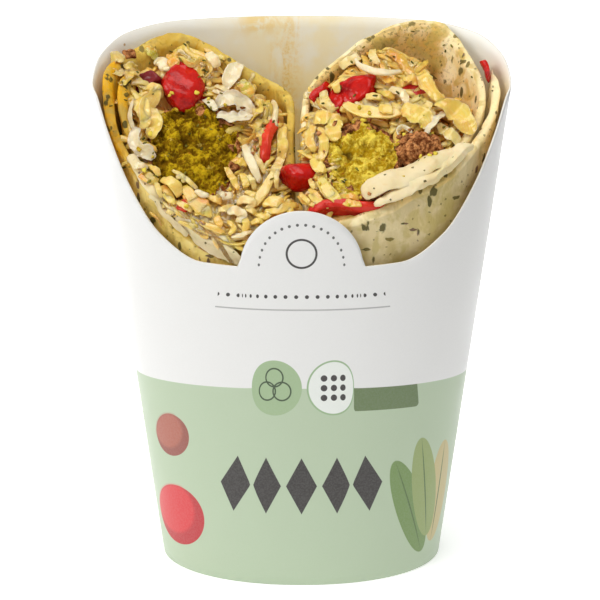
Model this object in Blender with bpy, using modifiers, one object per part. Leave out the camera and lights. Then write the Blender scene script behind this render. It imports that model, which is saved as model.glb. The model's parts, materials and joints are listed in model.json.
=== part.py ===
"""Falafel wrap: two halves of a cut tortilla roll standing in a tapered oval carton cup.

The halves stand side by side, their slanting cut faces turned up and to the front. The carton's
front is low, with a half-round tab, and its back rises behind the food as a flat-topped panel.
Lengths below are in millimetres and angles in degrees. +X is the viewer's right, +Y runs to the
back panel and +Z is up, with the origin under the middle of the carton.
"""
import math

import bmesh
import bpy
import numpy as np
from mathutils import Matrix, Vector, noise

MM = 0.001
GAP = 0.35                      # left between neighbouring pieces

# Carton cup: an oval section that widens evenly with height
BASE_HALF = (39.7, 26.0)        # half width and half depth at the base
TAPER = (0.1254, 0.0385)        # growth of each half size per millimetre of height
OVAL_POWER = 2.1
BOARD = 0.5
ABOVE_RIM = 170.0               # a height clear above the whole cup
CARTON_COLUMNS = 84             # besides those of the tab
RIM = ((0, 95.2), (30, 95.9), (46, 102.5), (59, 114.5), (70, 128.0), (78, 137.4),
       (92, 139.3), (108, 144.2), (126, 148.2), (145, 149.5), (180, 149.5))  # angle from front, height
TAB_RADIUS = 16.5
TAB_LEVEL = 95.2
TAB_COLUMNS = 22

# The two halves of the roll. flat is how far the flattened side that faces the middle of the back
# lies from the axis, flat_turn its turn from the Y axis, and back how far the roll's back lies. The
# bread winds inward from outer_end through turn degrees, and curl is how much its inner end leans in.
CENTRE_X, CENTRE_Y = 0.473, -0.08        # axis of a half, as shares of the carton's half sizes
MIDDLE = -1.0                            # x of the plane where the halves press together
FOOD_BOTTOM = 0.9
ROUNDING = 12.0                          # power that blends the sides of a roll's section
BACK_OPEN, BACK_SHUT = 116.0, 84.0       # above and below these the flattened side is free or full
FLAT_GROWTH = 24.0                       # how much further it reaches where it is full
LAYER_SPACE = 0.8                        # air between two turns of the bread
STEP_TURN, CURL_TURN = 50.0, 80.0        # over which it steps in under itself, and curls in at its end
TURN_STEP = 9.0
ROLL_WAVE, WAVES_ROUND, WAVE_RISE = 0.4, 5, 16.0   # unevenness of a roll's outside
CUT_MIDDLE = 27.0                        # distance in x from the cup's axis where level is given
ROLLS = {
    "left": dict(side=-1, bread=3.2, clear=1.4, flat=22.4, flat_turn=20.0, back=40.0, outer_end=-70.0,
                 turn=500.0, curl=0.0, level=126.9, slope_y=0.915, slope_x=-0.16, wave=0.6),
    "right": dict(side=1, bread=2.8, clear=1.6, flat=26.2, flat_turn=37.0, back=26.4, outer_end=20.0,
                  turn=490.0, curl=3.4, level=131.5, slope_y=0.807, slope_x=0.155, wave=1.9),
}
HEIGHT_SHARES = (0.0, 0.5, 0.78, 0.92, 1.0)
CORE_COLUMNS = 36
CORE_TOP_SHARES = (0.8, 0.55, 0.3, 0.08)

# Where the bread stands higher or lower than the plane of the cut: x, y, spread x, spread y, rise
BREAD_HUMPS = ((-55.0, 3.0, 9.0, 9.0, 5.0), (-55.0, -14.0, 10.0, 6.0, 1.5),
               (33.0, 24.0, 14.0, 9.0, 1.2))
# The inner walls sink under the spilt filling, and the left front wall lies flatter under it: depth,
# then the low x, the high x and the y where the dip begins, each with the width it fades in over
BREAD_DIPS = ((9.0, (-14.0, 6.0), (9.0, 4.0), (-6.5, 4.5)),
              (4.5, (-42.0, 8.0), (-8.0, 6.0), (-16.0, 5.0)))

# Filling surface below the cut: x, y, spread x, spread y, depth
FILL_DEPTH, FILL_UNEVEN = 3.2, 0.9
HOLLOWS = {
    "left": ((-36.0, 3.0, 6.0, 5.0, 3.0), (-10.0, 4.0, 5.0, 6.0, 2.0)),
    "right": ((38.0, 13.0, 11.0, 8.0, 11.0), (44.0, 0.0, 7.0, 8.0, 5.0)),
}
SHARE_PLANE = 2.65                       # x that parts the two fillings in front
SPILL = dict(at=(-15.5, -17.0), sink=4.8, radii=(21.0, 15.0, 6.2))   # mound over the inner walls

# Falafel pieces: roll, x, y, radii across, up the slope and deep, depth of centre, face level
FALAFEL = {
    "falafel_left": dict(roll="left", at=(-28.6, -6.8), radii=(13.0, 16.4, 12.5), sink=4.0, face=0.6,
                         cuts=5),
    "falafel_right": dict(roll="right", at=(16.2, -12.2), radii=(10.8, 13.4, 11.0), sink=4.0, face=0.8,
                          cuts=5),
    "falafel_piece": dict(roll="right", at=(31.6, -11.4), radii=(6.2, 4.8, 5.2), sink=1.0, face=9.0,
                          cuts=3),
}

# Red pepper and tomato: roll, x, y, rise above the cut, length, width, height, heading, lean
RED_PIECES = {
    "tomato_left": ("left", -32.6, 8.6, 0.8, 11.6, 12.0, 8.5, 25, 0),
    "pepper_left_dark": ("left", -42.6, 8.6, -1.0, 8.6, 5.0, 5.0, 25, 20),
    "pepper_strip_left": ("left", -9.2, -1.8, 0.8, 15.0, 3.2, 4.0, 84, 0),
    "pepper_bit_left": ("left", -31.0, -19.6, 1.4, 5.2, 3.2, 3.0, 50, 0),
    "tomato_front": ("left", -1.2, -10.2, 4.2, 9.4, 8.2, 8.8, 10, 0),
    "pepper_right_back": ("right", 14.8, 6.2, 0.2, 12.4, 7.4, 6.0, 5, 10),
    "pepper_right_low": ("right", 9.0, 4.4, -1.2, 8.0, 6.0, 7.0, 60, 0),
    "pepper_right_small": ("right", 30.9, 4.4, -1.0, 6.6, 4.8, 5.0, 10, 0),
    "pepper_bit_right": ("right", 4.9, 7.0, 0.6, 7.4, 2.6, 3.4, 50, 0),
    "pepper_sliver_right": ("right", 50.6, 6.6, 0.2, 7.0, 1.6, 4.0, 100, 0),
    "pepper_front_right": ("right", 12.0, -23.4, 0.8, 21.0, 3.4, 5.0, 3, 0),
}

# Large shreds laid by hand: kind, x, y, rise, length, width, heading, lift, curl
SHREDS = {
    "left": (
        ("leaf", -21.5, 12.4, 1.0, 12.0, 6.0, 60, 8, 60),
        ("leaf", -30.5, 16.0, 0.6, 13.0, 4.0, -20, 0, 110),
        ("leaf", -39.5, 14.6, 0.6, 11.0, 5.0, 70, 4, 50),
        ("leaf", -18.5, 6.5, 1.0, 16.0, 6.5, 20, 4, -60),
        ("leaf", -15.5, 2.6, 0.4, 11.0, 4.0, -40, 0, 60),
        ("leaf", -47.6, 14.0, 1.6, 13.0, 4.4, 20, 10, 150),
        ("leaf", -45.4, 2.0, 0.6, 21.0, 5.0, 82, 0, -40),
        ("leaf", -42.2, 11.6, 0.6, 9.0, 4.0, 60, 10, 60),
        ("strip", -13.6, -6.6, 1.0, 13.0, 3.4, -68, 6, 30),
        ("strip", -17.5, -12.6, 1.0, 10.0, 2.6, -70, 10, 0),
        ("strip", -22.5, -24.0, 0.8, 14.0, 3.4, -30, 0, 20),
        ("strip", -13.0, -24.4, 0.6, 13.0, 2.6, 12, 0, -20),
        ("strip", -8.5, -19.6, 1.6, 13.0, 2.4, 35, 4, 20),
        ("strip", -4.0, -22.2, 1.4, 11.0, 2.4, -15, 2, 0),
    ),
    "right": (
        ("leaf", 15.5, 11.6, 1.4, 15.0, 3.4, -16, 4, 50),
        ("leaf", 20.0, 0.8, 1.2, 19.0, 4.6, -6, 0, -20),
        ("leaf", 31.0, -3.6, 0.6, 13.0, 4.6, -40, 0, 70),
        ("leaf", 34.6, 5.0, 0.6, 17.0, 4.6, -55, 6, -20),
        ("leaf", 27.0, 7.6, 0.2, 12.0, 3.6, -60, 10, 60),
        ("strip", 5.4, -2.0, 0.6, 12.0, 4.0, 80, 0, 20),
        ("strip", 5.0, -8.6, 0.8, 10.0, 4.4, 100, 0, -20),
        ("strip", 7.4, -18.4, 1.0, 12.0, 4.0, -50, 6, 30),
        ("strip", 24.0, -3.4, 0.4, 8.0, 2.2, -70, 0, 150),
        ("strip", 38.6, -5.4, 0.0, 11.0, 3.4, 75, 0, 40),
    ),
}
LOOSE_SHREDS = {"left": 15, "right": 8}      # short grated shreds laid over the rest by a rule
LOOSE_LENGTH, LOOSE_WIDTH = (6.0, 11.0), (1.7, 3.0)
THICK = {"leaf": 1.3, "strip": 1.8, "loose": 1.7}
STEPS = {"leaf": 5, "strip": 3, "loose": 2}
GRAINS = {"left": 8, "right": 6}             # crumbs and chopped bits
GRAIN_SIZE = (1.0, 1.9)
SPACING = 3.2                                # least distance between two scattered pieces
DEEPEST = 8.0                                # none lies in a hollow deeper than this


def cut_height(roll, x, y):
    """Height of the slanting cut over a point."""
    centre_x = ROLLS[roll]["side"] * CUT_MIDDLE
    return ROLLS[roll]["level"] + ROLLS[roll]["slope_y"] * y + ROLLS[roll]["slope_x"] * (x - centre_x)


def bump(x, y, at_x, at_y, spread_x, spread_y, size):
    return size * np.exp(-((x - at_x) / spread_x) ** 2 - ((y - at_y) / spread_y) ** 2)


def ease(value):
    """Smooth step from 0 to 1."""
    share = np.clip(value, 0.0, 1.0)
    return share * share * (3.0 - 2.0 * share)


def bread_top(roll, x, y):
    """Height of the bread's cut edge, with its humps and where it sinks at the front."""
    top = cut_height(roll, x, y) + sum(bump(x, y, *hump) for hump in BREAD_HUMPS)
    for depth, (low, low_fade), (high, high_fade), (front, front_fade) in BREAD_DIPS:
        across = ease((x - low) / low_fade) * ease((high - x) / high_fade)
        top = top - depth * across * ease((front - y) / front_fade)
    return top


def fill_top(roll, x, y):
    """Height of the filling between its large pieces."""
    uneven = FILL_UNEVEN * np.sin(0.55 * x + 0.3 * y) * np.cos(0.47 * y - 0.2 * x)
    top = cut_height(roll, x, y) - FILL_DEPTH + uneven
    return top - sum(bump(x, y, *hollow) for hollow in HOLLOWS[roll])


def carton_half(z):
    return BASE_HALF[0] + TAPER[0] * z, BASE_HALF[1] + TAPER[1] * z


def oval_point(angle, z, inset=0.0):
    """Point of the carton's section at an angle from the front, and its height."""
    half_x, half_y = carton_half(z)
    sine, cosine = np.sin(np.radians(angle)), np.cos(np.radians(angle))
    x = (half_x - inset) * np.sign(sine) * np.abs(sine) ** (2 / OVAL_POWER)
    y = -(half_y - inset) * np.sign(cosine) * np.abs(cosine) ** (2 / OVAL_POWER)
    return x, y


def smooth_through(points, at):
    """Smooth curve through a few points, level where they are level."""
    xs, ys = np.array(points, float).T
    rises = np.diff(ys) / np.diff(xs)
    before, after = rises[:-1], rises[1:]
    same_way = before * after > 0
    inner = np.where(same_way, 2 * before * after / np.where(same_way, before + after, 1), 0)
    slopes = np.concatenate(([0.0], inner, [0.0]))
    i = np.clip(np.searchsorted(xs, at) - 1, 0, len(xs) - 2)
    width = xs[i + 1] - xs[i]
    t = (at - xs[i]) / width
    ends = ys[i] * (1 + 2 * t) * (1 - t) ** 2 + ys[i + 1] * t * t * (3 - 2 * t)
    return ends + width * (slopes[i] * t * (1 - t) ** 2 - slopes[i + 1] * t * t * (1 - t))


def rim_height(angle):
    """Height of the carton's edge, with the half-round tab in front."""
    turned = np.abs((angle + 180.0) % 360.0 - 180.0)
    top = smooth_through(RIM, turned)
    for _ in range(8):
        x, _y = oval_point(turned, top)
        tab = TAB_LEVEL + np.sqrt(np.maximum(TAB_RADIUS ** 2 - x ** 2, 0.0))
        inside = (x < TAB_RADIUS + 0.01) & (turned < 60)
        top = np.where(inside, tab, smooth_through(RIM, turned))
    return top


def carton_angles():
    """Even steps round the cup, with closer ones over the tab."""
    half_x, _half_y = carton_half(TAB_LEVEL + TAB_RADIUS / 2)
    across = TAB_RADIUS * np.sin(np.radians(np.linspace(-90, 90, TAB_COLUMNS + 1)))
    tab = np.degrees(np.arcsin(np.sign(across) * np.abs(across / half_x) ** (OVAL_POWER / 2)))
    rest = np.linspace(tab[-1], 360.0 + tab[0], CARTON_COLUMNS + 1)[1:-1]
    return np.concatenate((tab, rest))


def mesh_object(name, points, faces):
    mesh = bpy.data.meshes.new(name)
    mesh.from_pydata([tuple(point) for point in np.asarray(points) * MM], [], faces)
    return finish_mesh(name, mesh)


def finish_mesh(name, mesh):
    """Triangulate a mesh with its faces outward and put it in an object."""
    work = bmesh.new()
    work.from_mesh(mesh)
    bmesh.ops.recalc_face_normals(work, faces=work.faces)
    bmesh.ops.triangulate(work, faces=work.faces)
    work.to_mesh(mesh)
    work.free()
    return bpy.data.objects.new(name, mesh)


def loft(name, rings, top_cap="fan", bottom_cap="fan"):
    """Closed body through rings of points; a ladder cap closes the section of a strip."""
    rows, columns = rings.shape[:2]
    faces = []
    for row in range(rows - 1):
        for column in range(columns):
            after = (column + 1) % columns
            faces.append((row * columns + column, row * columns + after,
                          (row + 1) * columns + after, (row + 1) * columns + column))
    for cap, start in ((bottom_cap, 0), (top_cap, (rows - 1) * columns)):
        ring = [start + column for column in range(columns)]
        if cap == "ladder":
            pairs = range(columns // 2 - 1)
            faces += [(ring[k], ring[k + 1], ring[-k - 2], ring[-k - 1]) for k in pairs]
        elif cap == "fan":
            faces.append(tuple(ring))
    return mesh_object(name, rings.reshape(-1, 3), faces)


def make_carton():
    """Cup with a flat oval base: an open surface given the board's thickness."""
    angles = carton_angles()
    heights = rim_height(angles)
    rings = []
    for share, height in ((0.5, 0.0), (1.0, 0.0), (1.0, heights)):
        x, y = oval_point(angles, height)
        rings.append(np.stack((x * share, y * share, height + 0.0 * x), axis=1))
    count = len(angles)
    faces = [tuple(range(count))]
    for row in range(2):
        for column in range(count):
            after = (column + 1) % count
            faces.append((row * count + column, row * count + after,
                          (row + 1) * count + after, (row + 1) * count + column))
    mesh = bpy.data.meshes.new("carton")
    mesh.from_pydata([tuple(point) for point in np.concatenate(rings) * MM], [], faces)
    work = bmesh.new()
    work.from_mesh(mesh)
    bmesh.ops.recalc_face_normals(work, faces=work.faces)
    base = [face for face in work.faces if len(face.verts) > 4]
    if base[0].normal.z > 0:
        bmesh.ops.reverse_faces(work, faces=work.faces)
    work.to_mesh(mesh)
    work.free()
    carton = bpy.data.objects.new("carton", mesh)
    board = carton.modifiers.new("board", "SOLIDIFY")
    board.thickness = BOARD * MM
    board.offset = -1.0
    board.use_even_offset = True
    board.use_rim = True
    return carton


def cavity(name, low_x, high_x):
    """The space inside the cup between two x planes, up to well above the rim."""
    angles = carton_angles()
    rings = []
    for height in (FOOD_BOTTOM, ABOVE_RIM):
        x, y = oval_point(angles, height, BOARD + GAP)
        rings.append(np.stack((np.clip(x, low_x, high_x), y, height + 0.0 * x), axis=1))
    return loft(name, np.array(rings))


def roll_radius(roll, angle, z):
    """Outer radius of a half about its own axis, and that axis, at a height."""
    kind = ROLLS[roll]
    half_x, half_y = carton_half(z)
    centre_x, centre_y = kind["side"] * CENTRE_X * half_x, CENTRE_Y * half_y
    way_x, way_y = np.cos(np.radians(angle)), np.sin(np.radians(angle))
    near, far = np.zeros_like(way_x + z), np.full_like(way_x + z, 140.0)
    inset = BOARD + kind["clear"]
    for _ in range(30):
        reach = (near + far) / 2
        across = np.abs((centre_x + reach * way_x) / (half_x - inset)) ** OVAL_POWER
        along = np.abs((centre_y + reach * way_y) / (half_y - inset)) ** OVAL_POWER
        inside = across + along < 1
        near, far = np.where(inside, reach, near), np.where(inside, far, reach)
    to_middle = np.abs(centre_x - MIDDLE) - GAP / 2
    middle = to_middle / np.maximum(-kind["side"] * way_x, 0.01)
    openness = ease((z - BACK_SHUT) / (BACK_OPEN - BACK_SHUT))
    flat = kind["flat"] + FLAT_GROWTH * (1 - openness)
    flat_turn = math.radians(kind["flat_turn"])
    facing = -kind["side"] * math.sin(flat_turn) * way_x + math.cos(flat_turn) * way_y
    flattened = flat / np.maximum(facing, 0.01)
    back = (kind["back"] + FLAT_GROWTH * (1 - openness)) / np.maximum(way_y, 0.01)
    limits = np.array((near, middle, flattened, back))
    radius = (limits ** -ROUNDING).sum(axis=0) ** (-1 / ROUNDING)
    phase = np.radians(WAVES_ROUND * angle) + z / WAVE_RISE + kind["wave"]
    radius = radius - ROLL_WAVE * (1 + np.sin(phase))
    return radius, centre_x, centre_y


def roll_rings(roll, angles, insets, top_of, grow=0.0):
    """Rings of a roll's body from its bottom to a slanting top, inset from its outer radius."""
    rings = []
    for share in HEIGHT_SHARES:
        z = np.full(len(angles), 60.0)
        for _ in range(10):
            radius, centre_x, centre_y = roll_radius(roll, angles, z)
            x = centre_x + (radius - insets) * np.cos(np.radians(angles))
            y = centre_y + (radius - insets) * np.sin(np.radians(angles))
            low, high = FOOD_BOTTOM - grow, top_of(roll, x, y) + grow
            z = low + share * (high - low)
        rings.append(np.stack((x, y, z), axis=1))
    return np.array(rings)


def wound_inset(roll, wound):
    """How far a turn of the bread lies in from the roll's outer radius."""
    kind = ROLLS[roll]
    pitch = kind["bread"] + LAYER_SPACE
    under = ease((wound - 360.0 + STEP_TURN) / STEP_TURN)
    return pitch * under + kind["curl"] * ease((wound - kind["turn"] + CURL_TURN) / CURL_TURN)


def make_tortilla(roll, name, grow=0.0):
    """Flat bread rolled up in a spiral: its section is a strip that winds inward."""
    kind = ROLLS[roll]
    spread = math.degrees(grow / 25.0)
    steps = int(round(kind["turn"] / TURN_STEP))
    wound = np.linspace(-spread, kind["turn"] + spread, steps + 1)
    inset = wound_inset(roll, np.clip(wound, 0, kind["turn"]))
    angles = np.concatenate((kind["outer_end"] - wound, (kind["outer_end"] - wound)[::-1]))
    insets = np.concatenate((inset - grow, (inset + kind["bread"] + grow)[::-1]))
    rings = roll_rings(roll, angles, insets, bread_top, grow)
    return loft(name, rings, top_cap="ladder", bottom_cap="ladder")


def inside_inset(roll, angle):
    """How far the inner face of the innermost turn lies in from the roll's outer radius."""
    kind = ROLLS[roll]
    wound = (kind["outer_end"] - angle) % 360.0
    last = wound + 360.0 * np.floor((kind["turn"] - wound) / 360.0)
    return wound_inset(roll, last) + kind["bread"]


def core_inset(roll, angle):
    """The filling's inset: inside the bread, eased over the step at the bread's inner end."""
    nearby = [inside_inset(roll, angle + turn) for turn in (-9.0, -4.5, 0.0, 4.5, 9.0)]
    return np.max(nearby, axis=0) + GAP + 0.1


def make_core(roll, name):
    """Packed filling inside one roll, its top a little below the cut."""
    angles = np.arange(CORE_COLUMNS) * 360.0 / CORE_COLUMNS
    rings = list(roll_rings(roll, angles, core_inset(roll, angles), fill_top))
    edge = rings[-1]
    middle = edge.mean(axis=0)
    for share in CORE_TOP_SHARES:
        ring = middle + (edge - middle) * share
        ring[:, 2] = fill_top(roll, ring[:, 0], ring[:, 1])
        rings.append(ring)
    return loft(name, np.array(rings))


def cut_frame(roll, x, y, rise):
    """Point on the cut raised along its normal, and the cut's directions across, up and out."""
    kind = ROLLS[roll]
    out = Vector((-kind["slope_x"], -kind["slope_y"], 1.0)).normalized()
    across = Vector((1.0, 0.0, kind["slope_x"])).normalized()
    up = out.cross(across)
    point = Vector((x, y, float(cut_height(roll, x, y)))) + out * rise
    return point, Matrix((across, up, out)).transposed()


def rough(point, size, scale, seed):
    """Lumpiness at a point, between about -size and size."""
    return size * noise.noise(Vector(point) / scale + Vector((seed, -seed, 3.7 * seed)))


def make_falafel(name, grow=0.0):
    """A fried chickpea ball, sliced along the cut, with a crumbly face."""
    kind = FALAFEL[name]
    centre, turn = cut_frame(kind["roll"], *kind["at"], -kind["sink"])
    work = bmesh.new()
    bmesh.ops.create_cube(work, size=2.0)
    bmesh.ops.subdivide_edges(work, edges=work.edges, cuts=kind["cuts"], use_grid_fill=True)
    bmesh.ops.triangulate(work, faces=work.faces)
    for vert in work.verts:
        way = vert.co.normalized()
        lumps = 1.0 + rough(way, 0.16, 0.45, 1.3) + rough(way, 0.07, 0.16, 2.1)
        ball = Vector([way[i] * kind["radii"][i] * lumps for i in range(3)])
        face = kind["sink"] + kind["face"] + rough(ball, 1.5, 3.2, 4.4)
        local = ball + way * grow
        local.z = min(local.z, face + grow)
        vert.co = (centre + turn @ local) * MM
    mesh = bpy.data.meshes.new(name)
    work.to_mesh(mesh)
    work.free()
    return finish_mesh(name, mesh)


def make_red_piece(name, grow=0.0):
    """A chopped piece of pepper or tomato: a rounded, uneven block."""
    roll, x, y, rise, length, width, height, heading, lean = RED_PIECES[name]
    centre, turn = cut_frame(roll, x, y, rise - height * 0.22)
    spin = Matrix.Rotation(math.radians(heading), 3, "Z") @ Matrix.Rotation(math.radians(lean), 3, "X")
    work = bmesh.new()
    bmesh.ops.create_cube(work, size=2.0)
    bmesh.ops.subdivide_edges(work, edges=work.edges, cuts=2, use_grid_fill=True)
    bmesh.ops.triangulate(work, faces=work.faces)
    half = (length / 2, width / 2, height / 2)
    seed = len(name) + 0.31 * abs(x)
    for vert in work.verts:
        roundness = vert.co.normalized() * 1.25
        shape = vert.co.lerp(roundness, 0.55)
        lumps = 1.0 + rough(shape, 0.22, 0.8, seed)
        local = Vector([shape[i] * (half[i] * lumps + grow) for i in range(3)])
        vert.co = (centre + turn @ (spin @ local)) * MM
    mesh = bpy.data.meshes.new(name)
    work.to_mesh(mesh)
    work.free()
    return finish_mesh(name, mesh)


def make_ribbon(name, kind, roll, x, y, rise, length, width, heading, lift, curl):
    """A shred lying on the cut: a thin strip bent along its length, with a tilt across it."""
    thick, steps = THICK[kind], STEPS[kind]
    centre, turn = cut_frame(roll, x, y, rise)
    spin = Matrix.Rotation(math.radians(heading), 3, "Z") @ Matrix.Rotation(math.radians(-lift), 3, "Y")
    rings = []
    bend = math.radians(curl)
    for step in range(steps + 1):
        share = step / steps - 0.5
        if abs(bend) > 0.02:
            along = length / bend * math.sin(bend * share)
            aside = length / bend * (1 - math.cos(bend * share))
        else:
            along, aside = length * share, 0.0
        way = bend * share
        half = width / 2 * (1.0 - 0.35 * (2 * share) ** 2) * (1 + 0.15 * math.sin(9 * share + x))
        wave = 0.7 * math.sin(8.0 * share + y)
        tilt = 0.35 * math.sin(3.0 * share + x + y)
        ring = []
        for corner_y, corner_z in ((-1, -1), (1, -1), (1, 1), (-1, 1)):
            off = corner_y * half
            ring.append(Vector((along - off * math.sin(way), aside + off * math.cos(way),
                                wave + off * tilt + corner_z * thick / 2)))
        rings.append([centre + turn @ (spin @ point) for point in ring])
    return loft(name, np.array(rings))


def make_grain(name, roll, x, y, rise, size, seed):
    centre, _turn = cut_frame(roll, x, y, rise)
    work = bmesh.new()
    bmesh.ops.create_icosphere(work, subdivisions=1, radius=1.0)
    for vert in work.verts:
        stretch = 1.0 + 0.35 * math.sin(5.0 * vert.co.x + seed) + 0.3 * math.cos(4.0 * vert.co.y + 2 * seed)
        vert.co = (centre + vert.co * size * stretch) * MM
    mesh = bpy.data.meshes.new(name)
    work.to_mesh(mesh)
    work.free()
    return finish_mesh(name, mesh)


def fill_depth(roll, x, y):
    return float(cut_height(roll, x, y) - fill_top(roll, x, y))


def scattered(roll, count, generator, margin):
    """Points spread over a roll's filling, clear of the falafel and the red pieces."""
    taken = [(*kind["at"], kind["radii"][0] - 1.5) for kind in FALAFEL.values() if kind["roll"] == roll]
    taken += [(piece[1], piece[2], 0.4 * piece[4]) for piece in RED_PIECES.values() if piece[0] == roll]
    points = []
    tries = 0
    while len(points) < count and tries < 4000:
        tries += 1
        angle, share = generator.uniform(0, 360), math.sqrt(generator.uniform(0, 1))
        z = ROLLS[roll]["level"]
        radius, centre_x, centre_y = roll_radius(roll, np.array([angle]), np.array([z]))
        reach = (radius[0] - core_inset(roll, np.array([angle]))[0] - margin) * share
        x = float(centre_x[0] + reach * math.cos(math.radians(angle)))
        y = float(centre_y[0] + reach * math.sin(math.radians(angle)))
        spaced = all(math.hypot(x - px, y - py) > SPACING for px, py in points)
        clear = all(math.hypot(x - tx, y - ty) > room for tx, ty, room in taken)
        if spaced and clear and fill_depth(roll, x, y) < DEEPEST:
            points.append((x, y))
    return points


def spill_core(name):
    """The filling that has slid over the inner walls to the carton's front: a low lumpy mound."""
    work = bmesh.new()
    bmesh.ops.create_uvsphere(work, u_segments=16, v_segments=8, radius=1.0)
    centre, turn = cut_frame("left", *SPILL["at"], -SPILL["sink"])
    for vert in work.verts:
        lumps = 1.0 + rough(vert.co, 0.2, 0.5, 5.2)
        local = Vector([vert.co[i] * SPILL["radii"][i] for i in range(3)]) * lumps
        vert.co = (centre + turn @ local) * MM
    mesh = bpy.data.meshes.new(name)
    work.to_mesh(mesh)
    work.free()
    return finish_mesh(name, mesh)


def filling_pieces(roll):
    """The shreds and crumbs that show on one filling."""
    generator = np.random.default_rng(7 if roll == "left" else 11)
    pieces = []
    for index, (kind, *shape) in enumerate(SHREDS[roll]):
        pieces.append(make_ribbon(f"{roll}_{kind}_{index}", kind, roll, *shape))
    for index, (x, y) in enumerate(scattered(roll, LOOSE_SHREDS[roll], generator, 3.5)):
        rise = generator.uniform(0.2, 1.4) - 0.8 * fill_depth(roll, x, y)
        length, width = generator.uniform(*LOOSE_LENGTH), generator.uniform(*LOOSE_WIDTH)
        heading, lift, curl = [generator.uniform(*span) for span in ((0, 180), (-12, 12), (-70, 70))]
        shape = (x, y, rise, length, width, heading, lift, curl)
        pieces.append(make_ribbon(f"{roll}_shred_{index}", "loose", roll, *shape))
    for index, (x, y) in enumerate(scattered(roll, GRAINS[roll], generator, 2.5)):
        rise = 0.6 - fill_depth(roll, x, y)
        size, seed = generator.uniform(*GRAIN_SIZE), generator.uniform(0, 6)
        pieces.append(make_grain(f"{roll}_grain_{index}", roll, x, y, rise, size, seed))
    return pieces


def boolean(target, operation, cutters, solver="EXACT"):
    """One Boolean with a whole collection, applied, after which the collection's objects go."""
    group = bpy.data.collections.new("boolean_group")
    cutter_group.children.link(group)
    for cutter in cutters:
        group.objects.link(cutter)
        cutter.hide_render = True
        cutter.display_type = "WIRE"
    step = target.modifiers.new(operation.lower(), "BOOLEAN")
    step.operation = operation
    step.solver = solver
    step.operand_type = "COLLECTION"
    step.collection = group
    bpy.context.view_layer.update()
    result = bpy.data.meshes.new_from_object(target.evaluated_get(bpy.context.evaluated_depsgraph_get()))
    target.modifiers.remove(step)
    target.data = result
    for cutter in list(group.objects):
        bpy.data.objects.remove(cutter)
    bpy.data.collections.remove(group)


def keep_main_body(target):
    """Drop the loose scraps that a cut leaves, and weld the points that a cut doubles."""
    work = bmesh.new()
    work.from_mesh(target.data)
    bmesh.ops.remove_doubles(work, verts=work.verts, dist=0.002 * MM)
    unseen = set(work.verts)
    bodies = []
    while unseen:
        stack = [unseen.pop()]
        body = []
        while stack:
            vert = stack.pop()
            body.append(vert)
            for edge in vert.link_edges:
                other = edge.other_vert(vert)
                if other in unseen:
                    unseen.discard(other)
                    stack.append(other)
        bodies.append(body)
    bodies.sort(key=len)
    for body in bodies[:-1]:
        bmesh.ops.delete(work, geom=body, context="VERTS")
    bmesh.ops.triangulate(work, faces=work.faces)
    work.to_mesh(target.data)
    work.free()


def make_filling(roll, name):
    """Core and shreds fused in one, kept to the cup and clear of every neighbour."""
    filling = make_core(roll, name)
    cutter_group.objects.link(filling)
    pieces = filling_pieces(roll)
    if roll == "left":
        pieces.append(spill_core("spill"))
    boolean(filling, "UNION", pieces, "MANIFOLD")
    bounds = (-80.0, SHARE_PLANE - GAP / 2) if roll == "left" else (SHARE_PLANE + GAP / 2, 80.0)
    boolean(filling, "INTERSECT", [cavity(f"{name}_room", *bounds)], "MANIFOLD")
    neighbours = [make_tortilla(side, f"{side}_bread_room", GAP) for side in ROLLS]
    neighbours += [make_falafel(piece, GAP) for piece in FALAFEL]
    neighbours += [make_red_piece(piece, GAP) for piece in RED_PIECES]
    boolean(filling, "DIFFERENCE", neighbours, "MANIFOLD")
    keep_main_body(filling)
    cutter_group.objects.unlink(filling)
    return filling


def trimmed(target, neighbours=()):
    """Cut a piece back where it would touch the bread, the cup or its neighbours."""
    cutter_group.objects.link(target)
    boolean(target, "INTERSECT", [cavity(f"{target.name}_room", -80.0, 80.0)], "MANIFOLD")
    others = [make_tortilla(side, f"{side}_room", GAP) for side in ROLLS]
    boolean(target, "DIFFERENCE", others + list(neighbours), "MANIFOLD")
    keep_main_body(target)
    cutter_group.objects.unlink(target)
    return target


def surface(name, colour, roughness):
    """Principled material of one piece."""
    made = bpy.data.materials.new(name)
    made.use_nodes = True
    shader = made.node_tree.nodes["Principled BSDF"]
    shader.inputs["Base Color"].default_value = (*colour, 1.0)
    shader.inputs["Roughness"].default_value = roughness
    shader.inputs["Metallic"].default_value = 0.0
    return made


def add_part(part, colour, roughness, smooth=True):
    """Give a piece its material and place it under the wrap's empty."""
    part.data.materials.clear()
    part.data.materials.append(surface(part.name, colour, roughness))
    if smooth:
        part.data.shade_smooth()
        part.data.set_sharp_from_angle(angle=math.radians(40))
    part.parent = wrap
    wrap_group.objects.link(part)


for old in list(bpy.data.objects):
    bpy.data.objects.remove(old, do_unlink=True)

wrap_group = bpy.data.collections.new("falafel_wrap")
cutter_group = bpy.data.collections.new("cutters")
bpy.context.scene.collection.children.link(wrap_group)
bpy.context.scene.collection.children.link(cutter_group)

# The panel leans out further than the front, so the empty brings the middle back over the origin.
back_reach = carton_half(RIM[-1][1])[1]
front_reach = carton_half(TAB_LEVEL + TAB_RADIUS)[1]
wrap = bpy.data.objects.new("wrap", None)
wrap.location = (0.0, -(back_reach - front_reach) / 2 * MM, 0.0)
wrap_group.objects.link(wrap)

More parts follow.
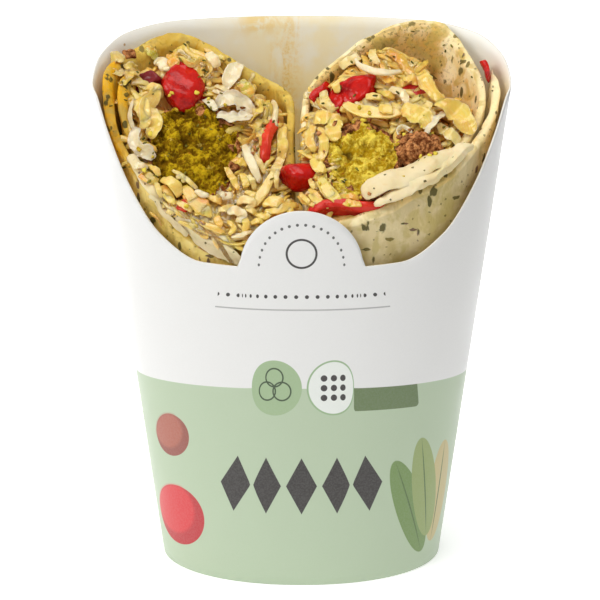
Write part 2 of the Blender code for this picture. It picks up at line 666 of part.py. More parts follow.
add_part(make_carton(), (0.80, 0.80, 0.78), 0.45)
add_part(make_tortilla("left", "tortilla_left"), (0.62, 0.46, 0.20), 0.6)
add_part(make_tortilla("right", "tortilla_right"), (0.72, 0.58, 0.30), 0.6)
placed = []                     # each large piece gives way to those placed before it
for piece_name in (*RED_PIECES, *FALAFEL):
    make, colour, roughness = make_falafel, (0.30, 0.22, 0.03), 0.8
    if piece_name in RED_PIECES:
        make, colour, roughness = make_red_piece, (0.55, 0.03, 0.02), 0.3
    add_part(trimmed(make(piece_name), [maker(name, GAP) for maker, name in placed]), colour, roughness)
    placed.append((make, piece_name))
add_part(make_filling("left", "filling_left"), (0.70, 0.52, 0.25), 0.5)
add_part(make_filling("right", "filling_right"), (0.72, 0.56, 0.28), 0.5)
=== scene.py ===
"""Looks of the falafel wrap: two cut halves of a filled tortilla roll in a tapered oval carton cup.

Lengths are in millimetres in the cup's own frame, and the meshes are made in metres. +X is the
viewer's right, +Y runs to the back panel and +Z is up.
"""
import json
import math

import bpy
import numpy as np
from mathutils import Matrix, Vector
from mathutils.bvhtree import BVHTree

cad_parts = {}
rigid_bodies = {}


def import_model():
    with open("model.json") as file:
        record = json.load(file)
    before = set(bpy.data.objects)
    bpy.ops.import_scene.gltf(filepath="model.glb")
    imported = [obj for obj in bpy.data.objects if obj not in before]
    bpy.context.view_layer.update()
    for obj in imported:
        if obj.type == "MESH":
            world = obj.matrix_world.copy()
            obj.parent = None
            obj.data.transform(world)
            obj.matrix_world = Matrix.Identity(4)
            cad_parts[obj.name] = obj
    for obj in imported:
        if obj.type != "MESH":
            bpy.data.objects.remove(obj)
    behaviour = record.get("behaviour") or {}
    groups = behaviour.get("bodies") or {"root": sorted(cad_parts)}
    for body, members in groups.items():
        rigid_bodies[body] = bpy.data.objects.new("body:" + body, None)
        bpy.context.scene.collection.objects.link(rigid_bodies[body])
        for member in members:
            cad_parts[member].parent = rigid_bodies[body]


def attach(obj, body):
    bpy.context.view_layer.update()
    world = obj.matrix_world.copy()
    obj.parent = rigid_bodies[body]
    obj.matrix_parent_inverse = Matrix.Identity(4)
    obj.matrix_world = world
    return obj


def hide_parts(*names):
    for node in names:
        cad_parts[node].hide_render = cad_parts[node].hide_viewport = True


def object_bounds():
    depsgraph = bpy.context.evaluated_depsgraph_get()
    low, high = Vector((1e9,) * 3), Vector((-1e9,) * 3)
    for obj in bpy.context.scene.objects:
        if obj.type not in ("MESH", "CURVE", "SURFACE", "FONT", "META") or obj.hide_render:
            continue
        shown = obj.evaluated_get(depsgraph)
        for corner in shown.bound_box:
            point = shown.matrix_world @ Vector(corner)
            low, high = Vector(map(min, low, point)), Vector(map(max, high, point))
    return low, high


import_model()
CAD_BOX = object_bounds()

MM = 0.001

# ---------------------------------------------------------------- the cup's and the rolls' form
BASE_HALF = (39.7, 26.0)                  # half size of the cup's foot
TAPER = (0.1254, 0.0385)                  # growth of the half size with height
OVAL_POWER = 2.1
BOARD = 0.5                               # thickness
# Angle from the front, and the height of the carton's edge there.
RIM = ((0, 95.2), (30, 95.9), (46, 102.5), (59, 114.5), (70, 128.0), (78, 137.4),
       (92, 139.3), (108, 144.2), (126, 148.2), (145, 149.5), (180, 149.5))
TAB_RADIUS, TAB_LEVEL, TAB_WITHIN = 16.5, 95.2, 60.0    # the tab lies within these degrees of the front
CENTRE_X, CENTRE_Y = 0.473, -0.08         # the rolls' axes, as shares of the cup's half size
MIDDLE = -1.0                             # where the two halves meet
GAP = 0.35                                # between the halves
FAR, HALVINGS = 140.0, 24                 # search for the cup's wall from a roll's axis
FOOD_BOTTOM = 0.9
ROUNDING = 12.0                           # how sharply a roll's limits meet
BACK_OPEN, BACK_SHUT, FLAT_GROWTH = 116.0, 84.0, 24.0  # up between these heights, the flats come in so far
LAYER_SPACE = 0.8                         # between one turn of the bread and the next
STEP_TURN, CURL_TURN = 50.0, 80.0         # degrees over which a turn slips under the next, and curls in
ROLL_WAVE, WAVES_ROUND, WAVE_RISE = 0.4, 5, 16.0
CUT_MIDDLE = 27.0                         # from the cup's middle to that of each cut
ROLLS = {
    "left": dict(side=-1, bread=3.2, clear=1.4, flat=22.4, flat_turn=20.0, back=40.0, outer_end=-70.0,
                 turn=500.0, curl=0.0, level=126.9, slope_y=0.915, slope_x=-0.16, wave=0.6),
    "right": dict(side=1, bread=2.8, clear=1.6, flat=26.2, flat_turn=37.0, back=26.4, outer_end=20.0,
                  turn=490.0, curl=3.4, level=131.5, slope_y=0.807, slope_x=0.155, wave=1.9),
}
# Middle, spread and size of rises, and how deep dips are between their bounds, of the bread's cut edge.
BREAD_HUMPS = ((-55.0, 3.0, 9.0, 9.0, 5.0), (-55.0, -14.0, 10.0, 6.0, 1.5),
               (33.0, 24.0, 14.0, 9.0, 1.2))
BREAD_DIPS = ((9.0, (-14.0, 6.0), (9.0, 4.0), (-6.5, 4.5)),
              (4.5, (-42.0, 8.0), (-8.0, 6.0), (-16.0, 5.0)))
FILL_DEPTH, FILL_UNEVEN = 3.2, 0.9
HOLLOWS = {
    "left": ((-36.0, 3.0, 6.0, 5.0, 3.0), (-10.0, 4.0, 5.0, 6.0, 2.0)),
    "right": ((38.0, 13.0, 11.0, 8.0, 11.0), (44.0, 0.0, 7.0, 8.0, 5.0)),
}


def unit(vector):
    return vector / np.maximum(np.linalg.norm(vector, axis=-1, keepdims=True), 1e-9)


def bump(x, y, at_x, at_y, spread_x, spread_y, size):
    """A soft rise about a place."""
    return size * np.exp(-((x - at_x) / spread_x) ** 2 - ((y - at_y) / spread_y) ** 2)


def ease(value):
    """From 0 to 1 with a soft start and end."""
    share = np.clip(value, 0.0, 1.0)
    return share * share * (3.0 - 2.0 * share)


def cut_height(roll, x, y):
    """Height of the slanting cut through a half."""
    kind = ROLLS[roll]
    return kind["level"] + kind["slope_y"] * y + kind["slope_x"] * (x - kind["side"] * CUT_MIDDLE)


def bread_top(roll, x, y):
    top = cut_height(roll, x, y) + sum(bump(x, y, *hump) for hump in BREAD_HUMPS)
    for depth, (low, low_fade), (high, high_fade), (front, front_fade) in BREAD_DIPS:
        across = ease((x - low) / low_fade) * ease((high - x) / high_fade)
        top = top - depth * across * ease((front - y) / front_fade)
    return top


def fill_top(roll, x, y):
    """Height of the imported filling, under what lies loose on it."""
    uneven = FILL_UNEVEN * np.sin(0.55 * x + 0.3 * y) * np.cos(0.47 * y - 0.2 * x)
    top = cut_height(roll, x, y) - FILL_DEPTH + uneven
    return top - sum(bump(x, y, *hollow) for hollow in HOLLOWS[roll])


def carton_half(z):
    return BASE_HALF[0] + TAPER[0] * z, BASE_HALF[1] + TAPER[1] * z


def oval_point(angle, z, inset=0.0):
    """Point of the cup's outside at an angle from the front, or that far in from it."""
    half_x, half_y = carton_half(z)
    sine, cosine = np.sin(np.radians(angle)), np.cos(np.radians(angle))
    x = (half_x - inset) * np.sign(sine) * np.abs(sine) ** (2 / OVAL_POWER)
    y = -(half_y - inset) * np.sign(cosine) * np.abs(cosine) ** (2 / OVAL_POWER)
    return x, y


# The panel leans out further than the front, so the whole stands a little forward of the cup's axis.
SHIFT_Y = -(carton_half(RIM[-1][1])[1] - carton_half(TAB_LEVEL + TAB_RADIUS)[1]) / 2


def kept_in_cup(points, gap=1.0):
    """Points brought back where they would pass through the cup's wall."""
    half_x, half_y = carton_half(points[..., 2])
    out = ((np.abs(points[..., 0]) / (half_x - gap)) ** OVAL_POWER
           + (np.abs(points[..., 1]) / (half_y - gap)) ** OVAL_POWER)
    back = np.minimum(1.0, np.maximum(out, 0.01) ** (-1.0 / OVAL_POWER))
    return points * np.stack((back, back, np.ones_like(back)), axis=-1)


def smooth_through(points, at):
    """Smooth curve through a few points, level where they are level."""
    xs, ys = np.array(points, float).T
    rises = np.diff(ys) / np.diff(xs)
    before, after = rises[:-1], rises[1:]
    same_way = before * after > 0
    inner = np.where(same_way, 2 * before * after / np.where(same_way, before + after, 1), 0)
    slopes = np.concatenate(([0.0], inner, [0.0]))
    i = np.clip(np.searchsorted(xs, at) - 1, 0, len(xs) - 2)
    width = xs[i + 1] - xs[i]
    t = (at - xs[i]) / width
    ends = ys[i] * (1 + 2 * t) * (1 - t) ** 2 + ys[i + 1] * t * t * (3 - 2 * t)
    return ends + width * (slopes[i] * t * (1 - t) ** 2 - slopes[i + 1] * t * t * (1 - t))


def rim_height(angle):
    """Height of the carton's edge, with the half-round tab in front."""
    turned = np.abs((angle + 180.0) % 360.0 - 180.0)
    top = smooth_through(RIM, turned)
    for _ in range(8):
        x, _y = oval_point(turned, top)
        tab = TAB_LEVEL + np.sqrt(np.maximum(TAB_RADIUS ** 2 - x ** 2, 0.0))
        inside = (x < TAB_RADIUS + 0.01) & (turned < TAB_WITHIN)
        top = np.where(inside, tab, smooth_through(RIM, turned))
    return top


def roll_radius(roll, angle, z):
    """Outer radius of a half about its own axis, and that axis, at a height."""
    kind = ROLLS[roll]
    half_x, half_y = carton_half(z)
    centre_x, centre_y = kind["side"] * CENTRE_X * half_x, CENTRE_Y * half_y
    way_x, way_y = np.cos(np.radians(angle)), np.sin(np.radians(angle))
    near, far = np.zeros_like(way_x + z), np.full_like(way_x + z, FAR)
    inset = BOARD + kind["clear"]
    for _ in range(HALVINGS):
        reach = (near + far) / 2
        across = np.abs((centre_x + reach * way_x) / (half_x - inset)) ** OVAL_POWER
        along = np.abs((centre_y + reach * way_y) / (half_y - inset)) ** OVAL_POWER
        inside = across + along < 1
        near, far = np.where(inside, reach, near), np.where(inside, far, reach)
    to_middle = np.abs(centre_x - MIDDLE) - GAP / 2
    middle = to_middle / np.maximum(-kind["side"] * way_x, 0.01)
    openness = ease((z - BACK_SHUT) / (BACK_OPEN - BACK_SHUT))
    flat = kind["flat"] + FLAT_GROWTH * (1 - openness)
    flat_turn = math.radians(kind["flat_turn"])
    facing = -kind["side"] * math.sin(flat_turn) * way_x + math.cos(flat_turn) * way_y
    flattened = flat / np.maximum(facing, 0.01)
    back = (kind["back"] + FLAT_GROWTH * (1 - openness)) / np.maximum(way_y, 0.01)
    limits = np.array((near, middle, flattened, back))
    radius = (limits ** -ROUNDING).sum(axis=0) ** (-1 / ROUNDING)
    phase = np.radians(WAVES_ROUND * angle) + z / WAVE_RISE + kind["wave"]
    return radius - ROLL_WAVE * (1 + np.sin(phase)), centre_x, centre_y


def wound_inset(roll, wound):
    """How far a turn of the bread lies in from the roll's outer radius."""
    kind = ROLLS[roll]
    pitch = kind["bread"] + LAYER_SPACE
    under = ease((wound - 360.0 + STEP_TURN) / STEP_TURN)
    return pitch * under + kind["curl"] * ease((wound - kind["turn"] + CURL_TURN) / CURL_TURN)


def inside_inset(roll, angle):
    """How far the inner face of the innermost turn lies in from the roll's outer radius."""
    kind = ROLLS[roll]
    wound = (kind["outer_end"] - angle) % 360.0
    last = wound + 360.0 * np.floor((kind["turn"] - wound) / 360.0)
    return wound_inset(roll, last) + kind["bread"]


# ---------------------------------------------------------------- noise over arrays of points
def hashed(cell, seed):
    """A number from -1 to 1 for each whole-numbered cell."""
    mixed = cell[..., 0] * 374761393 + cell[..., 1] * 668265263 + cell[..., 2] * 1440662683 + seed * 97531
    mixed = (mixed ^ (mixed >> 13)) * 1274126177 & 0x7FFFFFFF
    return ((mixed ^ (mixed >> 16)) & 0xFFFF) / 32767.5 - 1.0


def cloud(points, scale, seed=0, octaves=1):
    """Smooth noise of a given grain, each octave half as large and half as strong."""
    total, strength = np.zeros(points.shape[:-1]), 1.0
    for octave in range(octaves):
        spot = points / (scale / 2 ** octave) + 17.3 * seed
        cell = np.floor(spot).astype(np.int64)
        part = spot - cell
        part = part * part * (3.0 - 2.0 * part)
        for corner in range(8):
            step = np.array((corner & 1, corner >> 1 & 1, corner >> 2 & 1))
            weight = np.prod(np.where(step == 1, part, 1.0 - part), axis=-1)
            total += strength * weight * hashed(cell + step, seed + 31 * octave)
        strength *= 0.5
    return total


def grains(spot, seed, loose, size):
    """Packed round grains: 1 at a grain's middle, falling to 0 between grains, and a number for each."""
    cell = np.floor(spot).astype(np.int64)
    nearest, mark = np.full(spot.shape[:-1], 9.0), np.zeros(spot.shape[:-1])
    for corner in range(27):
        other = cell + np.array((corner % 3, corner // 3 % 3, corner // 9)) - 1
        jitter = np.stack([hashed(other, seed + axis) for axis in (1, 2, 3)], axis=-1) * loose + 0.5
        gap = ((other + jitter - spot) ** 2).sum(axis=-1)
        mark = np.where(gap < nearest, hashed(other, seed + 7), mark)
        nearest = np.minimum(nearest, gap)
    return np.clip(1.0 - nearest / size, 0.0, 1.0), mark


# ---------------------------------------------------------------- meshes
def grid_faces(rows, columns, start=0, closed=True):
    """Four-sided faces between rings of points."""
    row, column = np.indices((rows - 1, columns if closed else columns - 1))
    after = (column + 1) % columns
    corners = (row * columns + column, row * columns + after, (row + 1) * columns + after,
               (row + 1) * columns + column)
    return start + np.stack(corners, axis=-1).reshape(-1, 4)


def grid_normals(rings):
    """Outward normals of a grid whose columns run round and whose rows run on."""
    along = np.gradient(rings, axis=0)
    around = np.roll(rings, -1, axis=1) - np.roll(rings, 1, axis=1)
    return unit(np.cross(around, along))


def with_ends(rings):
    """The rings' points, then the middles of the first and the last ring."""
    return np.concatenate((rings.reshape(-1, 3), rings[0].mean(axis=0)[None], rings[-1].mean(axis=0)[None]))


def end_fans(rows, columns):
    """Faces that shut the first and the last ring over their middles."""
    first, last, top = rows * columns, rows * columns + 1, (rows - 1) * columns
    return [face for column in range(columns) for after in [(column + 1) % columns]
            for face in ((first, after, column), (last, top + column, top + after))]


class Heap:
    """Many small closed bodies of one kind, joined in one mesh, with named values at their points."""

    def __init__(self):
        self.points, self.faces, self.count = [], [], 0
        self.values = {}

    def add_rings(self, rings, **values):
        """A closed body through rings of points, its ends shut with fans, with a value for all or each."""
        rows, columns = rings.shape[:2]
        points = with_ends(rings)
        faces = [*grid_faces(rows, columns), *end_fans(rows, columns)]
        for name in sorted({*self.values, *values}):
            value = np.ravel(values.get(name, 0.0)).astype(float)
            if len(value) == rows * columns:
                value = np.concatenate((value, value[[0, -1]]))
            earlier = self.values.setdefault(name, [np.zeros(self.count)] if self.count else [])
            earlier.append(np.broadcast_to(value, len(points)))
        self.faces += [tuple(int(i) + self.count for i in face) for face in faces]
        self.points.append(points)
        self.count += len(points)


def make_piece(name, points, faces, material, replaces=(), values=None, faces_material=None):
    """One shown piece: its mesh in metres, riding on the wrap's only body."""
    mesh = bpy.data.meshes.new(name)
    placed = (np.asarray(points, float).reshape(-1, 3) + (0.0, SHIFT_Y, 0.0)) * MM
    mesh.from_pydata(placed.tolist(), [], [tuple(int(i) for i in face) for face in faces])
    mesh.polygons.foreach_set("use_smooth", np.ones(len(mesh.polygons), bool))
    for key, value in (values or {}).items():
        made = mesh.attributes.new(key, "FLOAT", "POINT")
        made.data.foreach_set("value", np.asarray(value, np.float32).ravel())
    for single in material if isinstance(material, (list, tuple)) else [material]:
        mesh.materials.append(single)
    if faces_material is not None:
        mesh.polygons.foreach_set("material_index", np.asarray(faces_material, np.int32))
    piece = bpy.data.objects.new(name, mesh)
    bpy.context.scene.collection.objects.link(piece)
    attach(piece, "root")
    if replaces:
        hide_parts(*replaces)
    return piece


def heap_piece(name, heap, material, replaces=()):
    """A heap as one shown piece."""
    values = {key: np.concatenate(value) for key, value in heap.values.items()}
    return make_piece(name, np.concatenate(heap.points), heap.faces, material, replaces, values)


# ---------------------------------------------------------------- materials
class Wire:
    """An output of a node, so that what is worked out from outputs reads as sums. Each step is a node."""

    def __init__(self, look, socket):
        self.look, self.socket = look, socket

    def __rsub__(self, other):
        return self.look.math("SUBTRACT", other, self)

    def squared(self):
        return self.look.math("POWER", self, 2.0)


for sign, operation in (("__add__", "ADD"), ("__sub__", "SUBTRACT"), ("__mul__", "MULTIPLY"),
                        ("__truediv__", "DIVIDE"), ("__abs__", "ABSOLUTE"), ("most", "MAXIMUM"),
                        ("scaled", "MULTIPLY_ADD"), ("root", "SQRT"), ("fraction", "FRACT"),
                        ("angle_over", "ARCTAN2")):
    setattr(Wire, sign, lambda self, *others, _does=operation: self.look.math(_does, self, *others))


class Look:
    """A material's node tree, written as short expressions, and its colour so far."""

    def __init__(self, name, **shader_inputs):
        self.material = bpy.data.materials.new(name)
        self.material.use_nodes = True
        self.tree = self.material.node_tree
        self.shader = self.tree.nodes["Principled BSDF"]
        self.link(self.shader, shader_inputs)
        self.where = self.wire("Object", "ShaderNodeTexCoord")
        self.colour = None

    def node(self, kind, settings=None, **inputs):
        made = self.tree.nodes.new(kind)
        for key, value in (settings or {}).items():
            setattr(made, key, value)
        self.link(made, inputs)
        return made

    def wire(self, output, kind, settings=None, **inputs):
        """One output of a new node."""
        return Wire(self, self.node(kind, settings, **inputs).outputs[output])

    def link(self, node, inputs):
        """Give a node's inputs their values, each by its name or by its number after an i."""
        for key, value in inputs.items():
            self.set(node.inputs[int(key[1:]) if key[1:].isdigit() else key.replace("_", " ")], value)

    def set(self, socket, value):
        if isinstance(value, Wire):
            self.tree.links.new(value.socket, socket)
        elif socket.type == "RGBA":
            socket.default_value = (*value, 1.0)
        else:
            socket.default_value = value

    def math(self, operation, *values):
        named = {f"i{place}": value for place, value in enumerate(values)}
        return self.wire(0, "ShaderNodeMath", dict(operation=operation), **named)

    def value(self, name):
        return self.wire("Fac", "ShaderNodeAttribute", dict(attribute_name=name))

    def span(self, value, low, high, to_low=0.0, to_high=1.0):
        """The value's place between low and high, held within to_low and to_high."""
        return self.wire(0, "ShaderNodeMapRange", dict(interpolation_type="SMOOTHSTEP"), i0=value, i1=low,
                         i2=high, i3=to_low, i4=to_high)

    def mix(self, share, first, second):
        return self.wire(2, "ShaderNodeMix", dict(data_type="RGBA"), i0=share, i6=first, i7=second)

    def between(self, share, first, second):
        """A mix of two colours, each given as a screen's 0 to 255 values."""
        return self.mix(share, linear(*first), linear(*second))

    def over(self, share, *tint):
        """Lay a tint over the colour so far: three screen values, or another colour."""
        self.colour = self.mix(share, self.colour, linear(*tint) if len(tint) == 3 else tint[0])

    def stretched(self, x=1.0, y=1.0, z=1.0, turn=0.0):
        return self.wire(0, "ShaderNodeMapping", Vector=self.where, Scale=(x, y, z), Rotation=(0.0, turn, turn))

    def noise(self, grain, detail=2.0, rough=0.5, bend=0.0, where=None):
        """Smooth noise whose lumps are about grain millimetres across."""
        return self.wire("Fac", "ShaderNodeTexNoise", Vector=where or self.where, Scale=1.0 / (grain * MM),
                         Detail=detail, Roughness=rough, Distortion=bend)

    def patches(self, noise, low, high, to_low=0.0, to_high=1.0):
        """Patches where a noise, given as noise() takes it, passes from low to high."""
        return self.span(self.noise(*noise), low, high, to_low, to_high)

    def cells(self, grain, where=None):
        """Cells about grain millimetres across: the distance from their middles, and a colour for each."""
        made = self.node("ShaderNodeTexVoronoi", Vector=where or self.where, Scale=1.0 / (grain * MM))
        return Wire(self, made.outputs["Distance"]), Wire(self, made.outputs["Color"])

    def parts(self, colour):
        """The three numbers that a colour or a place is made of."""
        kind = "ShaderNodeSeparateColor" if colour.socket.type == "RGBA" else "ShaderNodeSeparateXYZ"
        return [Wire(self, output) for output in self.node(kind, i0=colour).outputs]

    def flecks(self, grain, size, share, stretch=(1.0, 1.0, 1.0), turn=0.0, bend=0.5):
        """Scattered specks of uneven outline: where they are, and a number for each."""
        where = self.stretched(*stretch, turn=turn)
        stir = self.wire("Color", "ShaderNodeTexNoise", Vector=where, Scale=2.6 / (grain * MM), Detail=2.0)
        moved = self.wire(0, "ShaderNodeVectorMath", dict(operation="MULTIPLY_ADD"), i0=stir,
                          i1=(bend * grain * MM,) * 3, i2=where)
        distance, colour = self.cells(grain, moved)
        chance, number, _ = self.parts(colour)
        return self.span(distance, size, size * 0.72) * self.span(chance, share, share - 0.02), number

    def bump(self, height, strength, depth, before=None):
        below = {} if before is None else dict(Normal=before)
        return self.wire(0, "ShaderNodeBump", Strength=strength, Distance=depth * MM, Height=height, **below)

    def done(self, **links):
        self.link(self.shader, dict(Base_Color=self.colour, **links))
        return self.material


def linear(red, green, blue):
    """Shader colour from the 0 to 255 values that a screen shows."""
    return tuple((value / 255.0 / 12.92) if value <= 10 else ((value / 255.0 + 0.055) / 1.055) ** 2.4
                 for value in (red, green, blue))


# ---------------------------------------------------------------- carton cup
CARTON_STEP = 1.1                         # degrees between columns
TAB_COLUMNS = 64
WALL_ROWS = 44
EDGE_ROUND = 0.12
BASE_LIFT, BASE_INSET = 0.25, 0.3         # the rounding under the cup's foot
OUTSIDE, INSIDE, EDGE = 0, 1, 2           # the materials' places on the carton
SEAM_FROM, SEAM_TO, SEAM_STEP = 146.0, 160.0, 0.28     # glued lap at the back, in degrees
SEAM_FADE = 6.0
BAND_MIDDLE, BAND_FALL = 60.3, 0.0009     # the coloured band's upper edge and how it drops sideways
WHITE_BOARD, BAND_GREEN = linear(231, 231, 229), linear(182, 199, 170)
DISC_GREEN, BAR_GREEN, INK = linear(160, 184, 143), linear(104, 124, 82), linear(52, 48, 46)
BAR = (27.0, BAND_MIDDLE - 2.5, 10.2, 4.4, 1.3)        # middle, half size and rounding
DISCS = ((-7.6, 60.4), (9.1, 60.4))
DISC_SIZE, LOBE_SIZE = (7.7, 8.2), (2.5, 2.7)
ROUNDS = ((-41.5, 42.0, 6.6, linear(176, 104, 86), linear(150, 84, 72)),
          (-38.0, 17.0, 9.4, linear(214, 58, 62), linear(186, 44, 50)))
LEAVES = ((32.5, 21.0, 1.82, linear(118, 146, 84)), (44.0, 23.0, 1.36, linear(196, 182, 128)),
          (38.0, 26.0, 1.6, linear(150, 166, 104)))
LOZENGE_LEVEL, LOZENGE_HALF, LOZENGES_APART, LOZENGES_HALF = 30.8, (4.3, 8.6), 10.0, 25.0
RULE = (0.3, 83.4, 31.0, 0.17)
DOTS_LEVEL, DOTS_APART, DOT_SIZE, DOTS_HALF = 87.2, 2.9, 0.55, 30.4
ARC_RADIUS, ARC_APART, ARC_DOT = 12.6, 2.2, 0.42
TRAIL_X, SPILL_X, GLOW_X = -4.5, -11.0, -1.0           # middles of the sauce trail, the spill and a broad patchy yellow tint on the back panel


def carton_columns():
    """Angles round the cup, with close ones over the tab."""
    half_x, _half_y = carton_half(TAB_LEVEL + TAB_RADIUS / 2)
    across = TAB_RADIUS * np.sin(np.radians(np.linspace(-90, 90, TAB_COLUMNS + 1)))
    tab = np.degrees(np.arcsin(np.sign(across) * np.abs(across / half_x) ** (OVAL_POWER / 2)))
    rest = np.linspace(tab[-1], 360.0 + tab[0], int(320 / CARTON_STEP))[1:-1]
    return np.concatenate((tab, rest))


def carton_form():
    """Rings from the middle of the base, up the outside, over the edge and down the inside."""
    angles = carton_columns()
    top = rim_height(angles)
    seam = SEAM_STEP * ease((angles - SEAM_FROM) / SEAM_FADE) * (angles < SEAM_TO)
    rings, zones = [], []

    def ring(height, inset, zone, share=1.0):
        x, y = oval_point(angles, height, inset)
        rings.append(np.stack((x * share, y * share, height + 0.0 * x), axis=1))
        zones.append(zone)

    flat = np.zeros(len(angles))
    for share in (0.35, 0.7, 1.0):
        ring(flat, BASE_INSET, OUTSIDE, share)
    for step in np.linspace(0.0, 1.0, WALL_ROWS + 1):
        height = BASE_LIFT + (top - EDGE_ROUND - BASE_LIFT) * step
        ring(height, -seam * ease(step * 20), OUTSIDE)
    zones[-1] = EDGE                                  # the board's cut edge starts at the last outer ring
    for inset in (EDGE_ROUND, BOARD - EDGE_ROUND):
        ring(top, inset, EDGE)
    for step in np.linspace(1.0, 0.0, WALL_ROWS + 1):
        ring(BOARD + (top - EDGE_ROUND - BOARD) * step, BOARD, INSIDE)
    ring(flat + BOARD, BOARD, INSIDE, 0.5)
    return np.array(rings), zones


def around_length(rings):
    """Length round the cup at each point from the front, negative on the viewer's left."""
    steps = np.linalg.norm(np.roll(rings, -1, axis=1) - rings, axis=2)
    run = np.concatenate((np.zeros((len(rings), 1)), np.cumsum(steps, axis=1)[:, :-1]), axis=1)
    front = np.argmin(np.abs(carton_columns()))
    run = run - run[:, [front]]
    whole = steps.sum(axis=1, keepdims=True)
    return np.where(run > whole / 2, run - whole, run)


class Print:
    """Simple printed shapes on the unrolled wall: s runs round the cup, z up it."""

    def __init__(self, look):
        self.look, self.s, self.z = look, look.value("around"), look.value("up")

    def paint(self, distance, tint, soft=0.06):
        """Colour where the distance in millimetres is below zero, with a soft printed edge."""
        self.look.over(self.look.span(distance, -soft, soft, 1.0, 0.0), tint)

    def oval(self, s, z, radius_s, radius_z=None, turn=0.0):
        """Distance outside an oval, nearly in millimetres."""
        radius_z = radius_z or radius_s
        ds, dz = self.s - s, self.z - z
        cosine, sine = math.cos(turn), math.sin(turn)
        a = ds.scaled(cosine / radius_s, dz * (sine / radius_s))
        b = dz.scaled(cosine / radius_z, ds * (-sine / radius_z))
        return (a.scaled(a, b * b).root() - 1.0) * min(radius_s, radius_z)

    def box(self, s, z, half_s, half_z, rounding=0.0, level=None):
        """Distance outside a box with rounded corners."""
        a = (abs(self.s - s) - (half_s - rounding)).most(0.0)
        b = (abs((level or self.z) - z) - (half_z - rounding)).most(0.0)
        return a.scaled(a, b * b).root() - (rounding + 0.001)

    def row(self, value, pitch):
        """The value's distance from the nearest of marks a pitch apart."""
        return ((value / pitch).fraction() - 0.5) * pitch


def printed_board():
    """White board with a coloured lower band and plain ornaments."""
    look = Look("printed_board", Roughness=0.36, Coat_Weight=0.12, Coat_Roughness=0.22)
    look.colour = WHITE_BOARD
    sheet = Print(look)
    fallen = (sheet.s * sheet.s).scaled(BAND_FALL, sheet.z)      # level with the band
    sheet.paint(fallen - BAND_MIDDLE, BAND_GREEN)
    # two discs on the band's edge, one with a trefoil and one with a grid of dots
    (left, level), (right, _) = DISCS
    sheet.paint(sheet.oval(left, level, *DISC_SIZE), DISC_GREEN)
    for turn in np.radians((90, 210, 330)):
        s, z = left + LOBE_SIZE[0] * math.cos(turn), level + 0.4 + LOBE_SIZE[1] * math.sin(turn)
        sheet.paint(abs(sheet.oval(s, z, *LOBE_SIZE)) - 0.22, linear(58, 78, 50))
    sheet.paint(sheet.oval(right, level, *DISC_SIZE), linear(150, 178, 136))
    sheet.paint(sheet.oval(right, level, *(size - 0.5 for size in DISC_SIZE)), linear(232, 236, 230))
    for s in (-2.9, 0.0, 2.9):
        for z in (-2.9, 0.0, 2.9):
            sheet.paint(sheet.oval(right + s, level + z, 0.95), INK)
    # bar that hangs from the band's edge
    sheet.paint(sheet.box(*BAR, level=fallen).most(fallen - BAND_MIDDLE), BAR_GREEN)
    # five dark lozenges across the middle of the band
    apart = sheet.row(sheet.s + LOZENGES_HALF, LOZENGES_APART)
    lozenge = abs(apart) / LOZENGE_HALF[0] + abs(sheet.z - LOZENGE_LEVEL) / LOZENGE_HALF[1] - 1.0
    sheet.paint((lozenge * 3.8).most(abs(sheet.s) - LOZENGES_HALF), INK)
    # flat round and leaf shapes at the sides
    for s, z, radius, tint, shade in ROUNDS:
        sheet.paint(sheet.oval(s, z, radius), shade)
        lit = sheet.oval(s - 0.22 * radius, z + 0.2 * radius, radius * 0.86)
        sheet.paint(lit.most(sheet.oval(s, z, radius)), tint, 0.8)
    for s, z, turn, tint in LEAVES:
        sheet.paint(sheet.oval(s, z, 16.0, 4.6, turn), tint)
        sheet.paint(sheet.oval(s, z, 14.0, 0.22, turn), linear(84, 110, 62))
    # thin rule with a row of dots above it, and dots and a ring on the tab
    sheet.paint(sheet.box(*RULE), INK)
    dots = sheet.row(sheet.s, DOTS_APART).squared() + (sheet.z - DOTS_LEVEL).squared()
    sheet.paint((dots.root() - DOT_SIZE).most(abs(sheet.s) - DOTS_HALF), INK)
    above = sheet.z - TAB_LEVEL
    reach = sheet.s.scaled(sheet.s, above * above).root()
    turned = above.angle_over(sheet.s) * ARC_RADIUS
    arc = sheet.row(turned, ARC_APART).squared() + (reach - ARC_RADIUS).squared()
    sheet.paint((arc.root() - ARC_DOT).most(above * -1.0), linear(90, 90, 88))
    sheet.paint(abs(sheet.oval(0.0, 99.6, 4.0)) - 0.3, INK)
    waves = look.noise(9.0, 2.0, where=look.stretched(1.0, 1.0, 0.5))
    look.over(look.patches((0.5, 2.0), 0.3, 0.7, 0.0, 0.05), (0.62, 0.62, 0.60))
    rise = look.bump(look.noise(2.5, 3.0), 0.05, 0.15, look.bump(waves, 0.12, 0.5))
    return look.done(Roughness=look.span(waves, 0.3, 0.7, 0.32, 0.42), Normal=rise)


